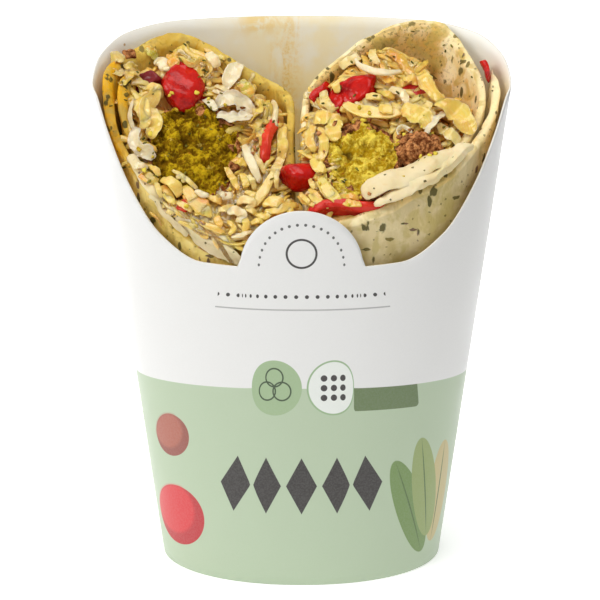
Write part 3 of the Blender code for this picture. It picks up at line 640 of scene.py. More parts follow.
def stained_and_shaded_board():
    """The cup's inside: white board with soaked-in oil, trails of yellow sauce, and a tan low on the side walls
    that is partly oil stain and partly painted shade.
    """
    look = Look("stained_and_shaded_board", Roughness=0.42, Coat_Weight=0.1, Coat_Roughness=0.3)
    up, side = look.value("up"), look.value("cup_x")
    down = look.stretched(1.0, 1.0, 0.22)
    soaked = look.span(up, 142.0, 118.0)
    patch = look.patches((13.0, 3.0, 0.55, 0.4), 0.38, 0.62)
    oil = patch.scaled(0.55, 0.45) * soaked.scaled(0.75, 0.2)
    look.colour = look.between(oil, (255, 255, 250), (255, 244, 206))
    broken = look.patches((1.1, 3.0, 0.6), 0.38, 0.6, 0.35, 1.0)
    trail = look.span(abs(side - TRAIL_X), 7.0, 0.5) * (
        look.patches((3.4, 4.0, 0.6, 0.8, down), 0.4, 0.6) * broken)
    splashed = look.span(up, 142.0, 147.0) * look.patches((4.0, 3.0, 0.6, 0.6), 0.36, 0.58)
    spill = look.span(abs(side - SPILL_X), 11.0, 2.0) * splashed
    glow = look.span(abs(side - GLOW_X), 34.0, 6.0, 0.0, 0.6)
    look.over(glow * look.patches((9.0, 3.0, 0.6), 0.3, 0.6, 0.4, 1.0), 255, 234, 166)
    look.over(trail.most(spill) * 0.65, 248, 210, 104)
    # tan low on the side walls: partly oil stain, partly painted shade where the bread shades them
    side_stain_and_shade = look.span(abs(side), 40.0, 54.0) * look.span(up, 146.0, 126.0)
    look.over(side_stain_and_shade * 0.9, 232, 194, 110)
    distance, number = look.cells(5.5)
    speck = look.span(distance, 0.10, 0.05) * look.span(number, 0.60, 0.62)
    look.over(speck * 0.8, 196, 150, 70)
    rise = look.bump(look.noise(6.0, 2.0, where=down), 0.15, 0.4, look.bump(trail, 0.2, 0.12))
    return look.done(Roughness=look.span(trail.most(soaked), 0.0, 1.0, 0.5, 0.27), Normal=rise)


def raw_edge():
    """The board's cut edge."""
    look = Look("raw_board_edge", Roughness=0.8)
    fibres = look.noise(0.5, 3.0)
    look.colour = look.between(fibres, (222, 218, 205), (246, 244, 238))
    return look.done(Normal=look.bump(fibres, 0.3, 0.08))


def make_carton():
    """The cup with its printed outside, its stained inside with painted shade low on the side walls, and its
    raw edge.
    """
    rings, zones = carton_form()
    rows, columns = rings.shape[:2]
    faces = [*grid_faces(rows, columns), *end_fans(rows, columns)]
    kinds = [zone for zone in zones[:-1] for _ in range(columns)] + [OUTSIDE, INSIDE] * columns
    points = with_ends(rings)
    values = dict(around=np.concatenate((around_length(rings).ravel(), (0, 0))), up=points[:, 2],
                  cup_x=points[:, 0])
    return make_piece("carton_cup", points, faces, (printed_board(), stained_and_shaded_board(), raw_edge()),
                      ("carton",), values, kinds)


# ---------------------------------------------------------------- flat bread
BREAD_STEP = 1.5                          # degrees between columns
BREAD_DROPS = (0.0, 0.12, 0.35, 0.7, 1.15, 1.7, 2.4, 3.2, 4.2, 5.4, 6.8, 8.4, 10.2, 12.2, 14.6, 17.4, 21.0,
               25.0, 30.0, 36.0, 44.0, 54.0, 66.0)      # rows below the cut edge
LIP = 1.15                                # how far down the cut edge is rounded off
EDGE_RAGGED = 0.45
THICK_SHARE, THICK_UNEVEN = 0.86, 0.13    # of the bread's thickness
END_TAPER, LEAST_HALF = 7.0, 0.25         # degrees over which the ends thin out
UNDER_ALL = 90.0                          # the drop noted for the lowest row
ROUNDS_OF_FIT = 12                        # a roll's radius and its height settle against each other


def slanting_rows(roll, angles, insets, top_of, drops, start=110.0, lowest=0.0):
    """Rings of points at each drop below a slanting top, or at the bottom where the drop is None."""
    rings = []
    for drop, inset in zip(drops, insets):
        z = np.full(len(angles), FOOD_BOTTOM if drop is None else start)
        for _ in range(ROUNDS_OF_FIT):
            radius, centre_x, centre_y = roll_radius(roll, angles, z)
            x = centre_x + (radius - inset) * np.cos(np.radians(angles))
            y = centre_y + (radius - inset) * np.sin(np.radians(angles))
            if drop is not None:
                z = np.maximum(top_of(roll, x, y) - drop, lowest)
        rings.append(np.stack((x, y, z), axis=1))
    return np.array(rings)


def ragged_top(roll, x, y):
    """The bread's cut edge with small nicks and waves."""
    spot = np.stack((x, y, 0.0 * x + (9.0 if roll == "left" else 31.0)), axis=-1)
    return bread_top(roll, x, y) + (cloud(spot, 5.0, 3, 3) * EDGE_RAGGED - 0.35)


def make_bread(roll, name):
    """The wound sheet of flat bread, with blisters, creases and a torn, rounded cut edge."""
    kind = ROLLS[roll]
    steps = int(round(kind["turn"] / BREAD_STEP))
    wound = np.linspace(0.0, kind["turn"], steps + 1)
    spot = np.stack((wound / 18.0, 0.0 * wound, 0.0 * wound), axis=1)
    thick = kind["bread"] * (THICK_SHARE + THICK_UNEVEN * cloud(spot, 1.0, 5, 2))
    ends = ease(np.minimum(wound, kind["turn"] - wound) / END_TAPER)
    thick = thick * (0.35 + 0.65 * np.sqrt(ends))
    inset = wound_inset(roll, wound) + 0.1
    middle = inset + kind["bread"] / 2
    angles = kind["outer_end"] - np.concatenate((wound[::-1], wound))
    insets = []
    for drop in BREAD_DROPS:
        cut_back = LIP - math.sqrt(max(LIP ** 2 - max(LIP - drop, 0.0) ** 2, 0.0))
        half = np.maximum(thick / 2 - 0.75 * cut_back, LEAST_HALF)
        insets.append(np.concatenate(((middle - half)[::-1], middle + half)))
    insets.append(insets[-1])
    rings = slanting_rows(roll, angles, insets, ragged_top, (*BREAD_DROPS, None))[::-1]
    drops = np.array((UNDER_ALL, *BREAD_DROPS[::-1]))[:, None] + np.zeros(rings.shape[:2])
    normals = grid_normals(rings)
    calm = ease(drops / 1.4) * 0.75 + 0.25
    blisters = np.clip(cloud(rings, 7.0, 11, 2), 0.0, 1.2)
    creases = cloud(rings * (1.0, 1.0, 0.3), 2.2, 13, 2)
    relief = (0.30 * blisters + 0.2 * creases + 0.07 * cloud(rings, 0.9, 17)) * calm
    rings = rings + normals * (relief - 0.12)[..., None]
    rings[..., 2] = np.clip(rings[..., 2], FOOD_BOTTOM, CAD_BOX[1][2] / MM - 0.02)
    count = steps + 1
    rows, columns = rings.shape[:2]
    inner = np.tile(np.repeat((0.0, 1.0), count), (rows, 1))
    faces = [tuple(face) for face in grid_faces(rows, columns)]
    for start, flip in ((0, True), ((rows - 1) * columns, False)):
        for k in range(count - 1):
            face = (start + k, start + k + 1, start + columns - k - 2, start + columns - k - 1)
            faces.append(face[::-1] if flip else face)
    values = dict(inner=inner, drop=drops, cup_x=rings[..., 0])
    return make_piece(name, rings, faces, flat_bread(roll), (f"tortilla_{roll}",), values)


BREAD_TINTS = {                            # outside, outside darker (in patches, and as painted shade further down the outside), inside, inside darker, sauce
    "left": ((252, 226, 140), (240, 206, 92), (228, 198, 92), (204, 160, 50), (196, 144, 24)),
    "right": ((224, 206, 158), (192, 172, 116), (255, 238, 190), (246, 216, 142), (232, 180, 70)),
    "folds": ((236, 218, 176), (226, 204, 150), (240, 222, 180), (226, 200, 142), (222, 172, 86)),
}


def flat_bread(kind):
    """Soft bread with chopped herbs and, where the filling touches it, sauce; painted shade lower down its
    outside and in the right half's hollow, and painted light on the right half's far side.
    """
    look = Look(f"flat_bread_{kind}", Roughness=0.5, Subsurface_Weight=0.15, Subsurface_Scale=0.003,
                Subsurface_Radius=(1.0, 0.6, 0.25), Coat_Weight=0.05, Coat_Roughness=0.2,
                Specular_IOR_Level=0.12)
    outer, outer_dark, within, within_dark, saucy_tint = BREAD_TINTS[kind]
    inner, drop, x = look.value("inner"), look.value("drop"), look.value("cup_x")
    broad = look.patches((11.0, 3.0, 0.55, 0.3), 0.36, 0.64)
    # the outside darkens in patches, and more so further below the cut edge: painted shade where the cup shades
    # the bread
    outside = look.between(broad * look.span(drop, 2.0, 9.0, 0.35, 1.0), outer, outer_dark)
    inside = look.between(broad, within, within_dark)
    look.colour = look.mix(look.span(inner + look.span(drop, 2.2, 0.6, 0.0, 0.6), 0.2, 0.6), outside, inside)
    sauce = look.patches((6.0, 3.0, 0.6, 0.7), 0.47, 0.6) * inner.scaled(0.6, 0.22 if kind == "left" else 0.05)
    look.over(sauce, *saucy_tint)
    if kind == "left":
        amber = look.span(x, -43.0, -50.0) * look.span(drop, 14.0, 5.0, 0.2, 0.8)
        look.over(amber, 236, 176, 20)
        look.over(look.patches((4.0, 3.0, 0.65), 0.46, 0.62, 0.0, 0.4), 222, 190, 92)
        streaks = (2.4, 3.0, 0.6, 0.4, look.stretched(1.0, 1.0, 0.2))
        look.over(look.patches(streaks, 0.5, 0.66, 0.0, 0.35), 160, 112, 22)
    if kind == "right":
        # paler towards the right half's far side: painted light where the bread lies in the cup's shade
        look.over(look.span(x, 45.0, 51.0, 0.0, 0.8), 255, 236, 186)
        # darker amber on the inside in the right half's hollow, more of it further down: painted shade in the
        # recess
        hollow = look.span(x, 41.5, 36.0) * look.span(inner, 0.4, 0.8)
        look.over(hollow * look.span(drop, 0.5, 5.0, 0.4, 0.8), 196, 148, 56)
        mottle = look.patches((7.0, 4.0, 0.7), 0.5, 0.62) * look.span(inner, 0.4, 0.8, 0.0, 0.5)
        look.over(mottle * look.span(x, 40.0, 34.0, 0.2, 1.0), 164, 146, 96)
        specks = look.patches((0.9, 2.0, 0.6), 0.54, 0.62) * look.span(inner, 0.4, 0.8, 0.0, 0.6)
        look.over(specks * look.span(x, 44.0, 34.0, 0.15, 1.0), 128, 108, 56)
    pale = look.patches((2.2, 3.0, 0.6), 0.5, 0.75) * inner.scaled(-0.2, 0.2 if kind == "left" else 0.35)
    look.over(pale, 246, 228, 180)
    green = (226, 218, 172) if kind == "folds" else (186, 168, 92)
    look.over(look.patches((6.0, 3.0, 0.6, 0.5), 0.48, 0.62, 0.0, 0.5), *green)
    # chopped herbs: broad flakes, slivers both ways, and dust
    large, hue = look.flecks(4.4, 0.26, 0.42, (1.0, 1.0, 0.62))
    slivers, _ = look.flecks(3.2, 0.24, 0.42, (1.0, 1.0, 0.45), 1.0, 0.3)
    along, _ = look.flecks(3.0, 0.22, 0.34, (0.45, 0.45, 1.0), 0.3)
    dust, _ = look.flecks(1.5, 0.26, 0.34 if kind == "left" else 0.24)
    if kind == "folds":
        large, slivers = along, dust
    herbs = large.most(slivers).most(along.most(dust * 0.7))
    tint = look.between(look.span(hue, 0.2, 0.9), (74, 70, 32), (124, 108, 50))
    look.over(herbs * 0.9, look.mix(look.span(hue, 0.86, 0.88), tint, linear(112, 84, 72)))
    rise = look.bump(look.noise(0.8, 3.0), 0.3, 0.18, look.bump(herbs, 0.4, 0.15))
    if kind != "folds":
        wrinkles = look.noise(2.0, 3.0, 0.6, 0.8, look.stretched(1.0, 1.0, 0.4))
        rise = look.bump(wrinkles, look.span(drop, 16.0, 4.0, 0.1, 0.7), 0.5, rise)
    return look.done(Roughness=0.56 - sauce * 0.3, Normal=rise)


# ---------------------------------------------------------------- laying food on the cut faces
CELL = 0.4                                # of the grid that holds the food's height over the cut
REACH = 40.0
NOTHING = -30.0                           # height where no food lies
SEE_FROM = 30.0
END_WIDTH, END_THICK = (0.45, 0.55), (0.4, 0.6)        # at a strip's ends, and how much more in its middle
FELT = (-0.7, 0.0, 0.7)                   # where across a strip it feels what is under it
DRAPE, SLANTED_END = 0.55, 0.4


def curve_through(knots, count):
    """Smooth line through a few knots, each a row of numbers."""
    knots = np.asarray(knots, float)
    padded = np.concatenate((2 * knots[:1] - knots[1:2], knots, 2 * knots[-1:] - knots[-2:-1]))
    at = np.linspace(0.0, len(knots) - 1.0, count)
    i = np.minimum(at.astype(int), len(knots) - 2)
    t = (at - i)[:, None]
    a, b, c, d = (padded[i + step] for step in range(4))
    return b + 0.5 * t * (c - a + t * (2 * a - 5 * b + 4 * c - d + t * (3 * (b - c) + d - a)))


def chopped(ball, seed, crisp):
    """Form of a cut chunk: a box about the ball with random facets, its edges softened."""
    dice = np.random.default_rng(seed)
    ways = [np.eye(3)[axis] * sign for axis in range(3) for sign in (1, -1)]
    ways = unit(np.array(ways) + dice.normal(0.0, 0.16, (6, 3)))
    more = unit(dice.normal(0.0, 1.0, (5, 3)))
    reach = np.concatenate((dice.uniform(0.9, 1.0, 6), dice.uniform(0.95, 1.2, 5)))
    toward = np.clip(ball @ np.concatenate((ways, more)).T, 0.0, None) / reach
    radius = (toward ** crisp).sum(axis=1) ** (-1.0 / crisp)
    return ball * np.minimum(radius, 1.35)[:, None]


UP = np.array((0.0, 0.0, 1.0))


class CutFace:
    """A half's slanting cut, and how high the food on it stands over the cut's plane."""

    def __init__(self, roll, seed):
        kind = ROLLS[roll]
        self.roll = roll
        self.origin = np.array((kind["side"] * CUT_MIDDLE, 0.0, kind["level"]))
        out = unit(np.array((-kind["slope_x"], -kind["slope_y"], 1.0)))
        across = unit(np.array((1.0, 0.0, kind["slope_x"])))
        self.axes = np.stack((across, np.cross(out, across), out))
        self.dice = np.random.default_rng(seed)
        self.lowest, self.highest = NOTHING, 1.0
        self.height = np.full([int(2 * REACH / CELL)] * 2, NOTHING)

    def to_face(self, x, y, rise=0.0):
        """Place on the face over a point of the cut: across, up the slant and out of it."""
        point = np.stack((x, y, cut_height(self.roll, x, y)), axis=-1)
        place = (point - self.origin) @ self.axes.T
        place[..., 2] += rise
        return place

    def to_cup(self, place):
        return self.origin + place @ self.axes

    def spot(self, x, y):
        """Where on the face the food over a point of the cut lies."""
        return self.to_face(np.array(x), np.array(y))[:2]

    def trace(self, knots, count):
        """Spots, lift, width and turn along a smooth line through knots of the tables."""
        knots = np.array([(*(value / 10 for value in knot[:4]), *(knot[4:] or (0,))) for knot in knots])
        places = self.to_face(knots[:, 0], knots[:, 1])
        line = curve_through(np.concatenate((places[:, :2], knots[:, 2:]), axis=1), count)
        return line[:, :2], *line[:, 2:].T

    def see(self, pieces):
        """Take the height of finished pieces from above the cut."""
        points, faces = [], []
        for piece in pieces:
            mesh = piece.data
            found = np.empty(3 * len(mesh.vertices))
            mesh.vertices.foreach_get("co", found)
            start = len(points)
            points += (found.reshape(-1, 3) / MM - (0.0, SHIFT_Y, 0.0)).tolist()
            faces += [[start + i for i in polygon.vertices] for polygon in mesh.polygons]
        tree = BVHTree.FromPolygons(points, faces)
        down = Vector(-self.axes[2])
        for i, j in np.ndindex(self.height.shape):
            spot = np.array((i * CELL - REACH, j * CELL - REACH, SEE_FROM))
            *_, distance = tree.ray_cast(Vector(self.to_cup(spot)), down, SEE_FROM - NOTHING)
            if distance is not None:
                self.height[i, j] = max(self.height[i, j], SEE_FROM - distance)

    def bare(self, spot):
        """Whether only the sauce lies at a spot."""
        i, j = (int(round(float(place))) for place in self.cells(spot))
        return self.sauce[i, j] > BED_LOWEST and self.sauce[i, j] > self.seen[i, j] - 0.3

    def on_falafel(self, spot):
        """Whether a spot lies well within the open side of a falafel."""
        for _name, roll, at, radii, *_rest in FALAFEL:
            if roll == self.roll and np.sum(((spot - self.spot(*at)) / radii[:2]) ** 2) < 0.8:
                return True
        return False

    def cells(self, spots):
        """Place on the grid, as a row and a column with their fractions."""
        found = np.clip((spots[..., :2] + REACH) / CELL, 0, len(self.height) - 1.001)
        return found[..., 0], found[..., 1]

    def at(self, spots):
        """Height of the food over the cut at spots on the face."""
        low, up = self.cells(spots)
        i, j = low.astype(int), up.astype(int)
        s, t = low - i, up - j
        return ((1 - s) * (1 - t) * self.height[i, j] + s * (1 - t) * self.height[i + 1, j]
                + (1 - s) * t * self.height[i, j + 1] + s * t * self.height[i + 1, j + 1])

    def raise_to(self, places):
        """Note that food now reaches up to these places."""
        cells = tuple(np.round(found).astype(int) for found in self.cells(places))
        np.maximum.at(self.height, cells, places[..., 2])

    def lay(self, heap, spots, width, thick, lift=0.0, sink=0.35, cup=0.0, ruffle=0.0, waves=3.0, turn=0.0,
            blunt=0.06, lumps=0.0, columns=10, stiff=0.5, square=0.5, ragged=0.2, crumple=0.2, slant=0.5,
            edge=0.8, **values):
        """Lay a strip along a line of spots on the face, draped over what lies there.

        A strip may be lifted, sunk, cupped, ruffled and turned about its line. Its ends are blunt and
        slanting, its sides ragged, its section square or round with a thin edge, its surface crumpled
        and lumpy. It follows what is under it less closely the stiffer it is.
        """
        count = len(spots)
        run = np.linspace(0.0, 1.0, count)
        flat = unit(np.gradient(spots, axis=0))
        aside = np.stack((-flat[:, 1], flat[:, 0]), axis=1)
        near_end = np.clip(np.minimum(run, 1.0 - run) / blunt, 0.0, 1.0)
        rounded = np.sqrt(1.0 - (1.0 - near_end) ** 2)
        half = np.broadcast_to(width, count) / 2 * (END_WIDTH[0] + END_WIDTH[1] * rounded)
        under = np.max([self.at(spots + aside * (half * share)[:, None]) for share in FELT], axis=0)
        under = np.clip(under, max(np.median(under) - 2.0, self.lowest), self.highest)
        smooth = under.copy()
        for _ in range(max(2, int(count * stiff))):
            smooth = np.convolve(np.pad(smooth, 1, mode="edge"), (0.25, 0.5, 0.25), mode="valid")
        rest = smooth + DRAPE * np.clip(under - smooth, 0.0, None).max()
        thin = np.broadcast_to(thick, count) * (END_THICK[0] + END_THICK[1] * rounded)
        middle = rest + thin / 2 - sink + np.broadcast_to(lift, count)
        line = np.concatenate((spots, middle[:, None]), axis=1)
        along = unit(np.gradient(line, axis=0))
        side = unit(np.cross(UP, along))
        up = np.cross(along, side)
        around = np.linspace(0.0, 2 * np.pi, columns, endpoint=False)
        a = np.sign(np.cos(around)) * np.abs(np.cos(around)) ** square
        b = np.sign(np.sin(around)) * np.abs(np.sin(around)) ** square
        phase = self.dice.uniform(0, 6.28, 2)
        wave = np.where(a > 0, np.sin(6.28 * waves * run[:, None] + phase[0]),
                        np.sin(5.1 * waves * run[:, None] + phase[1]))
        rise = b * thin[:, None] / 2 * (1.0 - (1.0 - edge) * a ** 2)
        rise = rise + cup * half[:, None] * (a ** 2 - 0.4) + ruffle * wave * a ** 2
        marks = np.stack((6.28 * run, np.full(count, 9.0 * phase[0]), np.full(count, 9.0 * phase[1])), axis=1)
        sides = 1.0 + ragged * np.stack((cloud(marks, 1.1, 1, 3), cloud(marks, 1.1, 2, 3)))
        reach = a * half[:, None] * np.where(a > 0, sides[0][:, None], sides[1][:, None])
        turned = np.radians(np.broadcast_to(turn, count))[:, None]
        reach, rise = (reach * np.cos(turned) - rise * np.sin(turned),
                       reach * np.sin(turned) + rise * np.cos(turned))
        rings = line[:, None] + side[:, None] * reach[..., None] + up[:, None] * rise[..., None]
        first, last = self.dice.uniform(-slant, slant, 2)
        skew = (first * np.clip(1.0 - run / SLANTED_END, 0.0, 1.0)
                + last * np.clip(1.0 - (1.0 - run) / SLANTED_END, 0.0, 1.0))
        rings = rings + along[:, None] * (reach * skew[:, None])[..., None]
        rings[..., 2] += crumple * cloud(rings * (1.0, 1.0, 0.0), 2.4, int(phase[0] * 9), 2)
        if lumps:
            seed = int(self.dice.integers(90))
            rings = rings + grid_normals(rings) * (lumps * cloud(rings, 1.7, seed, 2))[..., None]
        rib = np.broadcast_to(np.abs(a), rings.shape[:2])
        gap = 0.7 + 0.3 * (len(heap.points) % 7)      # strips stop at different places before the cup's wall
        heap.add_rings(kept_in_cup(self.to_cup(rings), gap), run=np.broadcast_to(run[:, None], rib.shape),
                       rib=rib, **values)
        fine = curve_through(np.concatenate((line, half[:, None], thin[:, None]), axis=1), 3 * count)
        asides = unit(np.cross(UP, unit(np.gradient(fine[:, :3], axis=0))))
        for share in np.linspace(-1.0, 1.0, 9):
            top = fine[:, :3] + asides * (fine[:, 3] * share)[:, None]
            top[:, 2] += fine[:, 4] / 2 + cup * fine[:, 3] * (share ** 2 - 0.4)
            self.raise_to(top)

    def lay_lump(self, heap, spot, size, heading=0.0, sink=0.35, rough=0.08, columns=10, lift=0.0, **values):
        """Set a rounded lump on the food."""
        length, width, tall = size
        way = np.array((math.cos(math.radians(heading)), math.sin(math.radians(heading))))
        across = np.array((-way[1], way[0]))
        reach = np.linspace(-1, 1, 5)
        under = np.mean([self.at(spot + way * length / 2 * s * 0.6 + across * width / 2 * t * 0.6)
                         for s in reach for t in reach])
        middle = np.array((*spot, min(under, self.highest) + tall / 2 - sink * tall + lift))
        rows = max(6, columns - 2)
        tilt = np.linspace(0.08, np.pi - 0.08, rows)[:, None]
        around = np.linspace(2 * np.pi, 0, columns, endpoint=False)[None, :]
        ball = np.stack((np.cos(tilt) + 0 * around, np.sin(tilt) * np.cos(around),
                         np.sin(tilt) * np.sin(around)), axis=-1)
        seed = int(self.dice.integers(9000))
        ball = chopped(ball.reshape(-1, 3), seed, 12.0).reshape(ball.shape)
        ball = ball * (1.0 + rough * cloud(ball + middle, 0.9, seed, 2))[..., None]
        places = (middle + ball[..., :1] * length / 2 * np.array((*way, 0.0))
                  + ball[..., 1:2] * width / 2 * np.array((*across, 0.0)) + ball[..., 2:] * tall / 2 * UP)
        shown = np.zeros(places.shape[:2])
        heap.add_rings(kept_in_cup(self.to_cup(places)), run=shown + 0.5, rib=shown, **values)
        self.raise_to(places[places[..., 2] > middle[2]])


def deepen(heap, face, depth=3.0):
    """Note for each point of a heap how deep it lies among what was laid later, for painted shade in the gaps.
    """
    points = np.concatenate(heap.points)
    places = (points - face.origin) @ face.axes.T
    heap.values["deep"] = [np.clip((face.at(places) - places[:, 2] - 0.8) / depth, 0.0, 1.0)]


# ---------------------------------------------------------------- falafel
# Name, half, place on the cut, radii, sink, cut above that, net size, way to the rind and its spread.
FALAFEL = (
    ("falafel_left", "left", (-28.6, -6.8), (13.0, 16.4, 12.5), 4.0, 0.6, 92, (0.8, 0.6), 0.3),
    ("falafel_right", "right", (16.2, -12.2), (10.8, 13.4, 11.0), 4.0, 0.8, 84, (-0.9, -0.1), -0.75),
    ("falafel_piece", "right", (31.6, -11.4), (6.2, 4.8, 5.2), 1.0, 9.0, 64, (1.0, 0.0), 0.0),
)
CRUMB_GRAINS = ((2.3, 2), (1.15, 12), (0.62, 22))      # size and seed of its coarse, middle and fine crumbs
TEAR_SOFT, TORN_BULGE, RIND_INSIDE = 1.4, 0.12, 0.83


def ball_points(count):
    """Points of a ball made of six square nets, and the faces between them."""
    side = np.tan(np.linspace(-np.pi / 4, np.pi / 4, count + 1))
    first, second = np.meshgrid(side, side, indexing="ij")
    flat = np.ones_like(first)
    nets = [np.stack(net, axis=-1).reshape(-1, 3) for net in (
        (flat, first, second), (-flat, second, first), (second, flat, first), (first, -flat, second),
        (first, second, flat), (second, first, -flat))]
    points = unit(np.concatenate(nets))
    keys, index = np.unique(np.round(points, 6), axis=0, return_inverse=True)
    index = index.ravel()
    faces = np.concatenate([index[grid_faces(count + 1, count + 1, net * (count + 1) ** 2, closed=False)]
                            for net in range(6)])
    return unit(keys), faces[:, ::-1]


def crumb(points, scale, seed):
    """Height of packed crumbs, and a number that tells each crumb from the next."""
    stirred = points / scale + 0.25 * cloud(points, scale * 1.5, seed)[..., None]
    return grains(stirred, seed, 0.42, 0.8)


def make_falafel(name, roll, at, radii, sink, cut, count, rind, spread):
    """A ball of coarse herb crumb with a browned crust, torn open on its upper side but for a rind."""
    face = CutFace(roll, 1)
    ball, faces = ball_points(count)
    lumps = 1.0 + 0.07 * cloud(ball, 0.55, 3, 2)
    body = ball * np.array(radii) * lumps[:, None]
    torn = sink + cut + 0.8 * cloud(body * (1, 1, 0), 5.0, 8, 2)
    over = body[:, 2] - torn
    opened = ease(over / TEAR_SOFT + 0.5)
    way = unit(ball[:, :2])
    reach = np.linalg.norm(ball[:, :2] / math.sqrt(max(1.0 - ((sink + cut) / radii[2]) ** 2, 0.05)), axis=1)
    toward = ease((way @ unit(np.array(rind)) - spread) / 0.3)
    opened = opened * (1.0 - toward * ease((reach - RIND_INSIDE + 0.22 * cloud(body, 3.0, 4, 2)) / 0.07))
    body[:, 2] = np.where(over > 0, torn + TORN_BULGE * over, body[:, 2])
    clump = cloud(body, 4.2, 5, 3)
    (chunk, mark), (mid, mark_mid), (small, _) = (crumb(body, size, seed) for size, seed in CRUMB_GRAINS)
    relief = opened * (1.5 * np.clip(clump, -1.0, 0.9) + 1.0 * (chunk - 0.4) * (0.5 + 0.8 * mark)
                       + 0.5 * (mid - 0.4) * (0.7 + 0.5 * mark_mid) + 0.25 * small
                       + 0.45 * cloud(body, 0.8, 31, 2)) \
        + (1 - opened) * (0.8 * (chunk - 0.4) + 0.6 * (mid - 0.4) + 0.3 * small + 0.5 * clump
                          + 0.5 * cloud(body, 1.2, 33, 2))
    normal = unit(ball * (1 - opened)[:, None] + np.array((0.0, 0.0, 1.4)) * opened[:, None])
    body = body + normal * (relief - 0.2)[:, None]
    middle = face.to_face(np.array(at[0]), np.array(at[1]), -sink)
    points = face.to_cup(middle + body)
    # pit is painted shade where the crumb lies low between clumps and grains; the tone's share of the clump
    # height paints raised clumps lighter, as painted light
    pit = np.clip(0.45 - 0.55 * clump + 0.45 * (0.55 - chunk) + 0.5 * (0.5 - mid), 0.0, 1.0)
    values = dict(crust=1.0 - opened, pit=pit, tone=0.45 + 0.25 * mark + 0.3 * mark_mid + 0.25 * clump)
    return make_piece(f"{name}_crumb", points, faces, falafel_crumb(name), (name,), values)


def falafel_crumb(name):
    """Coarse crumb with browned crust on it, with painted shade in its pits and painted light on its raised
    clumps.
    """
    look = Look(name, Roughness=0.85, Subsurface_Weight=0.08, Subsurface_Scale=0.0015, Specular_IOR_Level=0.06)
    tone = look.value("tone") + look.patches((0.7, 2.0), 0.3, 0.7, -0.2, 0.2)
    tints = ((112, 80, 2), (198, 164, 24)) if name == "falafel_left" else ((176, 140, 18), (238, 214, 84))
    look.colour = look.between(look.span(tone, 0.1, 0.95), *tints)
    look.over(look.patches((2.2, 2.0, 0.6), 0.64, 0.72, 0.0, 0.5), 226, 196, 90)
    look.over(look.patches((1.8, 2.0, 0.6, 0.5), 0.66, 0.72, 0.0, 0.6), 156, 84, 22)
    brown = look.between(look.patches((1.4, 3.0, 0.7), 0.36, 0.66), (104, 54, 24), (214, 148, 92))
    worn = look.span(look.value("crust") + look.patches((2.2, 3.0), 0.3, 0.7, -0.35, 0.35), 0.42, 0.62)
    look.over(worn, brown)
    # painted shade in the pits
    pit = look.span(look.value("pit"), 0.4, 1.0, 0.0, 0.85)
    look.over(pit, look.between(worn, (74, 46, 1), (66, 30, 8)))
    return look.done(Normal=look.bump(look.noise(0.35, 3.0, 0.7), 0.7, 0.25))


# ---------------------------------------------------------------- tomato and pepper
SLENDER, SUNK = 2.4, 0.22                 # longer pieces bend, and each sinks in by this share of its height
# Half, place on the cut and rise, length, width, height, heading and lean.
RED_PIECES = {
    "tomato_left": ("left", -32.4, 8.2, 0.8, 12.4, 12.4, 8.5, 62, 0),
    "pepper_left_dark": ("left", -42.6, 8.6, -1.0, 8.6, 5.0, 5.0, 25, 20),
    "pepper_strip_left": ("left", -9.2, -1.8, 0.8, 15.0, 3.2, 4.0, 84, 0),
    "pepper_bit_left": ("left", -31.0, -19.6, 1.4, 5.2, 3.2, 3.0, 50, 0),
    "tomato_front": ("left", -1.2, -10.2, 4.2, 9.4, 8.2, 8.8, 10, 0),
    "pepper_right_back": ("right", 14.8, 6.2, 0.2, 12.4, 7.4, 6.0, 5, 10),
    "pepper_right_low": ("right", 9.0, 4.4, -1.2, 8.0, 6.0, 7.0, 60, 0),
    "pepper_right_small": ("right", 30.9, 4.4, -1.0, 6.6, 4.8, 5.0, 10, 0),
    "pepper_bit_right": ("right", 4.9, 7.0, 0.6, 7.4, 2.6, 3.4, 50, 0),
    "pepper_sliver_right": ("right", 50.6, 6.6, 0.2, 7.0, 1.6, 4.0, 100, 0),
    "pepper_front_right": ("right", 12.0, -23.4, 0.8, 21.0, 3.4, 5.0, 3, 0),
}


def make_red(name, roll, x, y, rise, length, width, tall, heading, lean):
    """A chunk of ripe tomato or red pepper, with soft corners and wet, uneven flesh."""
    face = CutFace(roll, 1)
    ball, faces = ball_points(30)
    seed = int(abs(x) * 7) % 50
    body = chopped(ball, seed, 3.6 if name == "tomato_front" else 12.0) * np.array((length, width, tall)) / 2
    body = body + unit(body) * (0.04 * min(length, width) * cloud(body, 0.4 * min(length, width), seed, 2)
                                + 0.10 * cloud(body, 1.1, seed + 3, 2))[:, None]
    if length > SLENDER * width:
        bend = 0.10 * length * np.sin(body[:, 0] / length * 5.0 + seed)
        body[:, 1] += bend * 0.5
        body[:, 2] += 0.4 * bend
    x_y_z = body.T.copy()
    for turn, other in ((math.radians(lean), 2), (math.radians(heading), 1)):
        x_y_z[[0, other]] = (x_y_z[0] * math.cos(turn) - x_y_z[other] * math.sin(turn),
                             x_y_z[0] * math.sin(turn) + x_y_z[other] * math.cos(turn))
    body = x_y_z.T
    middle = face.to_face(np.array(x), np.array(y), rise - SUNK * tall)
    skin = ease((ball @ unit(np.array((0.9, -0.3, 0.1))) + 0.15) / 0.3)
    return make_piece(f"{name}_flesh", face.to_cup(middle + body), faces, red_flesh(name),
                      (name,), dict(skin=skin))


RED_TINTS = {                              # light and deep
    "tomato_left": ((206, 32, 22), (164, 10, 8)),
    "pepper_front_right": ((222, 60, 44), (190, 24, 18)),
    "pepper_left_dark": ((128, 40, 40), (96, 24, 30)),
    "pepper_strip_left": ((226, 72, 42), (204, 44, 28)),
    "pepper_bit_left": ((214, 84, 54), (196, 60, 40)),
    "pepper_right_small": ((206, 66, 50), (186, 34, 30)),
}


